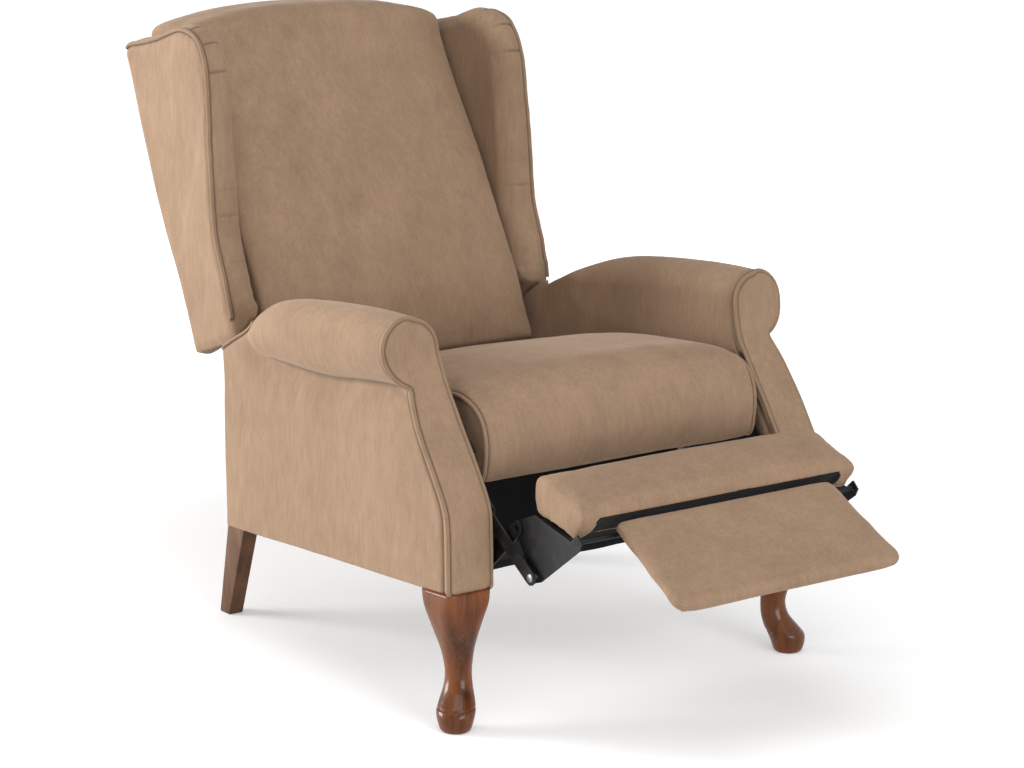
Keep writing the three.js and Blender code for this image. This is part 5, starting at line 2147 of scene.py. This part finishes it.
    def flipper(self) -> Any:
        """The flipper's padded cover.

        Returns:
            The cover, hollow underneath for its board.
        """
        angle = (np.arange(96) + 0.5) * math.tau / 96
        rings = []
        for way in (1 - np.cos(np.linspace(0, math.pi, 40))) / 2:
            end = min(way, 1 - way) * self.length
            lip = np.clip(end / 9.0, 0, 1)
            full = (1 - (1 - lip) ** 2) ** 0.5
            half = between(self.rear_half, self.front_half, way) - 2.0 * (1 - full)
            corner = np.clip(min(way * self.length / 9, (1 - way) * self.length / 20), 0, 1)
            half -= between(9, 20, way) * (1 - math.sqrt(1 - (1 - corner) ** 2))
            deep = self.thick * (0.36 + 0.64 * full)
            x = half * signed_power(np.cos(angle), 0.18)
            rise = deep / 2 * signed_power(np.sin(angle), 0.55) - self.thick / 2
            rings.append(self.on_flipper(x, way * self.length, rise))
        stuffing = Stuffing(voxel=3.6, smoothing=3, pressure=2.0, swell=1.2, frames=10)
        piece = stuffing.fill(stuffing.cover(skin("flipper_cover", rings)))
        self.hollow(piece)
        return ripple(piece, self.dimples)

    def hollow(self, piece: Any) -> None:
        """Raises the underside over the board.

        Args:
            piece: The flipper's cover.
        """
        spots = places(piece)
        slope = math.radians(self.slope)
        forward = SHIFT - spots[:, 1] / MM - self.start[0]
        height = spots[:, 2] / MM - self.start[1]
        along = forward * math.cos(slope) - height * math.sin(slope)
        rise = forward * math.sin(slope) + height * math.cos(slope)
        side = self.rear_half - np.abs(spots[:, 0] / MM)
        edge = np.minimum(np.minimum(along, self.length - along), side) - 8.0
        want = -self.thick + np.clip(edge * 2.0, 0, self.hollow_deep)
        lift = np.where((rise < -self.thick / 2) & (edge > 0), np.maximum(want - rise, 0), 0)
        spots[:, 1] -= lift * math.sin(slope) * MM
        spots[:, 2] += lift * math.cos(slope) * MM
        set_places(piece, spots)

    def lining(self, pad: Any) -> Any:
        """A black sheet under the pad's nose, painted shade for the gap between the pad and the flipper.

        Args:
            pad: The pad's cover.

        Returns:
            The sheet, a thin shell that follows the cover.
        """
        bm = bmesh.new()
        bm.from_mesh(pad.data)
        bm.normal_update()
        rear, front = self.lining_span
        away = []
        for face in bm.faces:
            middle = face.calc_center_median()
            inside = abs(middle.x) < self.lining_half * MM and rear < SHIFT - middle.y / MM < front
            if not (inside and face.normal.z < -0.35):
                away.append(face)
        bmesh.ops.delete(bm, geom=away, context="FACES")
        piece = make_object("pad_lining", (), ())
        bm.to_mesh(piece.data)
        bm.free()
        return thickened(piece, self.lining_thick, 1.0)

    def build(self) -> None:
        """Makes the pad, the black sheet of painted shade under its nose, and the flipper."""
        shop, finish = self.shop, self.shop.finishes
        pad = self.pad()
        # Painted shade: a black sheet under the pad's nose.
        shop.hang(self.lining(pad), "ottoman", finish.backing, Slot.UPHOLSTERY)
        shop.hang(pad, "ottoman", finish.velvet, Slot.UPHOLSTERY, ["ottoman_pad"], fill=0.7)
        shop.hang(self.flipper(), "flipper", finish.velvet, Slot.UPHOLSTERY, ["flipper_pad"], fill=0.6)


# The steelwork and the timber that the frame already holds


@dataclass
class Mechanism:
    """Dresses the linkage and the timber, and adds the rivet heads and the backing cloth.

    Pivots are body, forward place, height and side place of each pair of rivets.
    """

    shop: Workshop
    cloth_half: float = 243.0
    cloth_low: float = 162.0
    cloth_high: float = 306.0
    cloth_gap: float = 3.0
    cloth_wave: float = 1.6
    cloth_thick: float = 1.2
    rivet_radius: float = 6.5
    rivet_height: float = 1.6
    painted: Sequence[str] = ("cross_bar", "plate", "torque", "link", "bracket", "hinge", "flipper_rod")
    timber_bevel: float = 1.2
    steel_bevel: float = 0.45
    pivots: Sequence[tuple[str, float, float, float]] = (
        ("drive_links", 305.5, 313.0, 268.0), ("ottoman", 407.0, 244.0, 268.0),
        ("guide_links", 281.0, 228.0, 258.8), ("front_swing_links", 110.0, 225.0, 264.8),
        ("front_swing_links", 110.0, 338.0, 268.0), ("rear_swing_links", -110.0, 225.0, 264.8),
        ("rear_swing_links", -110.0, 338.0, 268.0), ("back", -205.0, 318.0, 257.6),
    )

    def dress_nodes(self) -> None:
        """Gives each CAD node that stays its material and eased edges."""
        finish = self.shop.finishes
        for name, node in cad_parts.items():
            if name.startswith(("side_frame", "seat_side_rail")):
                material = finish.timber_along
            elif name.startswith("back_stile"):
                material = finish.timber_up
            elif name.endswith(("_rail", "_board")):
                material = finish.timber_across
            elif "pin" in name or "spring" in name:
                material = finish.steel
            elif any(word in name for word in self.painted):
                material = finish.paint
            else:
                continue
            node.data.materials.clear()
            node.data.materials.append(material)
            node.modifiers.new("merge", "WELD").merge_threshold = MERGE
            eased(node, self.timber_bevel if "timber" in material.name else self.steel_bevel, 2, 35.0)

    def backing_cloth(self) -> Any:
        """The black cloth that hangs behind the front cross bar.

        Returns:
            The cloth, in soft waves that fade towards its head.
        """
        _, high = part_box("front_cross_bar")
        columns, rows = 50, 14
        verts = []
        for i in range(rows):
            for k in range(columns):
                x = between(-self.cloth_half, self.cloth_half, k / (columns - 1))
                height = between(self.cloth_low, self.cloth_high, i / (rows - 1))
                wave = self.cloth_wave * math.sin(x / 17) * (1 - i / (rows - 1))
                verts.append((x * MM, high.y + (self.cloth_gap + wave) * MM, height * MM))
        faces = [
            (i * columns + k, i * columns + k + 1, (i + 1) * columns + k + 1, (i + 1) * columns + k)
            for i in range(rows - 1) for k in range(columns - 1)
        ]
        return thickened(make_object("backing_cloth", verts, faces), self.cloth_thick, -1.0)

    def build(self) -> None:
        """Dresses the nodes, hangs the backing cloth and sets the rivet heads."""
        self.dress_nodes()
        self.shop.hang(self.backing_cloth(), "base", self.shop.finishes.backing, Slot.UPHOLSTERY)
        by_body: dict[str, list[np.ndarray]] = {}
        for body, forward, height, layer in self.pivots:
            for side in Side:
                by_body.setdefault(body, []).append(spot(side.value * layer, forward, height))
        for body, spots in by_body.items():
            self.shop.studs(f"rivets_{body}", np.array(spots), self.rivet_radius, self.rivet_height, body)


# The studio


def background_rays(tree: Any) -> Any:
    """Where a pale background is shown as it is.

    Args:
        tree: The tree that gets the nodes.

    Returns:
        The socket that is 1 on camera, glossy and transmission rays.
    """
    path = tree.nodes.new("ShaderNodeLightPath")
    seen = path.outputs["Is Camera Ray"]
    for kind in ("Is Glossy Ray", "Is Transmission Ray"):
        either = tree.nodes.new("ShaderNodeMath")
        either.operation = "MAXIMUM"
        tree.links.new(seen, either.inputs[0])
        tree.links.new(path.outputs[kind], either.inputs[1])
        seen = either.outputs[0]
    return seen


@dataclass
class Studio:
    """Camera, floor and soft lights, with their places in metres."""

    lens: float = 98.4375
    sensor: float = 36.0
    azimuth: float = -36.24
    elevation: float = 12.35
    distance: float = 4.345
    target_height: float = 0.415
    floor_half: float = 30.0
    near_lift: float = 0.34
    far_lift: float = 0.72
    sky_level: float = 0.44
    lamps: Sequence[tuple[str, Triple, float, float, Triple]] = (
        ("key", (-5.3, 4.7, 1.3), 3.4, 775.0, (0, 0, 0.3)),
        ("front", (-0.2, -4.8, 0.9), 2.2, 120.0, (0, 0, 0.25)),
        ("top", (-0.6, -1.2, 3.4), 2.4, 50.0, (0, 0, 0.3)),
    )

    def camera(self) -> None:
        """Sets the camera at the photograph's viewing angle."""
        data = bpy.data.cameras.new("camera")
        data.lens, data.sensor_width = self.lens, self.sensor
        cam = bpy.data.objects.new("camera", data)
        bpy.context.scene.collection.objects.link(cam)
        a, e = math.radians(self.azimuth), math.radians(self.elevation)
        back = Vector((math.sin(a) * math.cos(e), -math.cos(a) * math.cos(e), math.sin(e)))
        target = Vector((0, SHIFT * MM, self.target_height))
        cam.location = target + back * self.distance
        cam.rotation_mode = "QUATERNION"
        cam.rotation_quaternion = (-back).to_track_quat("-Z", "Y")
        bpy.context.scene.camera = cam

    def lamp(self, name: str, place: Triple, size: float, power: float, aim: Triple) -> None:
        """Adds one soft square light.

        Args:
            name: Its name.
            place: Where it stands, in metres.
            size: Its side, in metres.
            power: Its power, in watts.
            aim: The point that it faces, in metres.
        """
        data = bpy.data.lights.new(name, "AREA")
        data.size, data.energy = size, power
        lamp = bpy.data.objects.new(name, data)
        lamp.location = place
        lamp.rotation_mode = "QUATERNION"
        lamp.rotation_quaternion = (Vector(aim) - Vector(place)).to_track_quat("-Z", "Y")
        bpy.context.scene.collection.objects.link(lamp)

    def floor(self) -> None:
        """Lays the pale floor, which shows white and keeps a soft shadow."""
        half = self.floor_half
        corners = [(-half, -half, 0), (half, -half, 0), (half, half, 0), (-half, half, 0)]
        plane = make_object("floor", corners, [(0, 1, 2, 3)])
        b = Bench("pale_floor")
        b.dress(base_color=(0.8, 0.8, 0.8), roughness=0.9, specular_ior_level=0.1)
        away = b.node("ShaderNodeVectorMath", b.surface(), output=1, operation="LENGTH")
        dark, glow = (b.nodes.new("ShaderNodeEmission") for _ in range(2))
        dark.inputs["Strength"].default_value = 0.0
        # The glow is weaker near the chair, painted shade that deepens the floor's shadow there, and its
        # faint blue tint shows in that shadow.
        glow.inputs["Color"].default_value = (0.975, 0.988, 1.0, 1.0)
        b.join(glow.inputs["Strength"], away.mapped(1.0, 3.0, self.near_lift, self.far_lift))
        pick, total = b.nodes.new("ShaderNodeMixShader"), b.nodes.new("ShaderNodeAddShader")
        for start, end in (
            (background_rays(b.material.node_tree), pick.inputs[0]),
            (dark.outputs[0], pick.inputs[1]), (glow.outputs[0], pick.inputs[2]),
            (b.shader.outputs[0], total.inputs[0]), (pick.outputs[0], total.inputs[1]),
            (total.outputs[0], b.nodes["Material Output"].inputs[0]),
        ):
            b.links.new(start, end)
        plane.data.materials.append(b.material)

    def world(self) -> None:
        """A white surround that lights softly."""
        world = bpy.data.worlds.new("surround")
        bpy.context.scene.world = world
        world.use_nodes = True
        tree = world.node_tree
        sky, seen = tree.nodes["Background"], tree.nodes.new("ShaderNodeBackground")
        for glow, level in ((sky, self.sky_level), (seen, 1.0)):
            glow.inputs[0].default_value = (1, 1, 1, 1)
            glow.inputs[1].default_value = level
        pick = tree.nodes.new("ShaderNodeMixShader")
        tree.links.new(background_rays(tree), pick.inputs[0])
        tree.links.new(sky.outputs[0], pick.inputs[1])
        tree.links.new(seen.outputs[0], pick.inputs[2])
        tree.links.new(pick.outputs[0], tree.nodes["World Output"].inputs[0])

    def build(self) -> None:
        """Sets up the whole studio."""
        bpy.context.scene.view_settings.view_transform = "Standard"
        self.camera()
        self.floor()
        self.world()
        for lamp in self.lamps:
            self.lamp(*lamp)


def main() -> None:
    """Builds the studio and every sub-assembly in order."""
    Studio().build()
    shop = Workshop(Finishes())
    arms = Arms(shop)
    for part in (arms, Legs(shop, arms), Seat(shop), Springs(shop), Back(shop), Wings(shop), Footrest(shop)):
        part.build()
        LOG.info("%s done", type(part).__name__)
    Mechanism(shop).build()
    LOG.info("%d pieces made", shop.count)


if __name__ == "__main__":
    main()
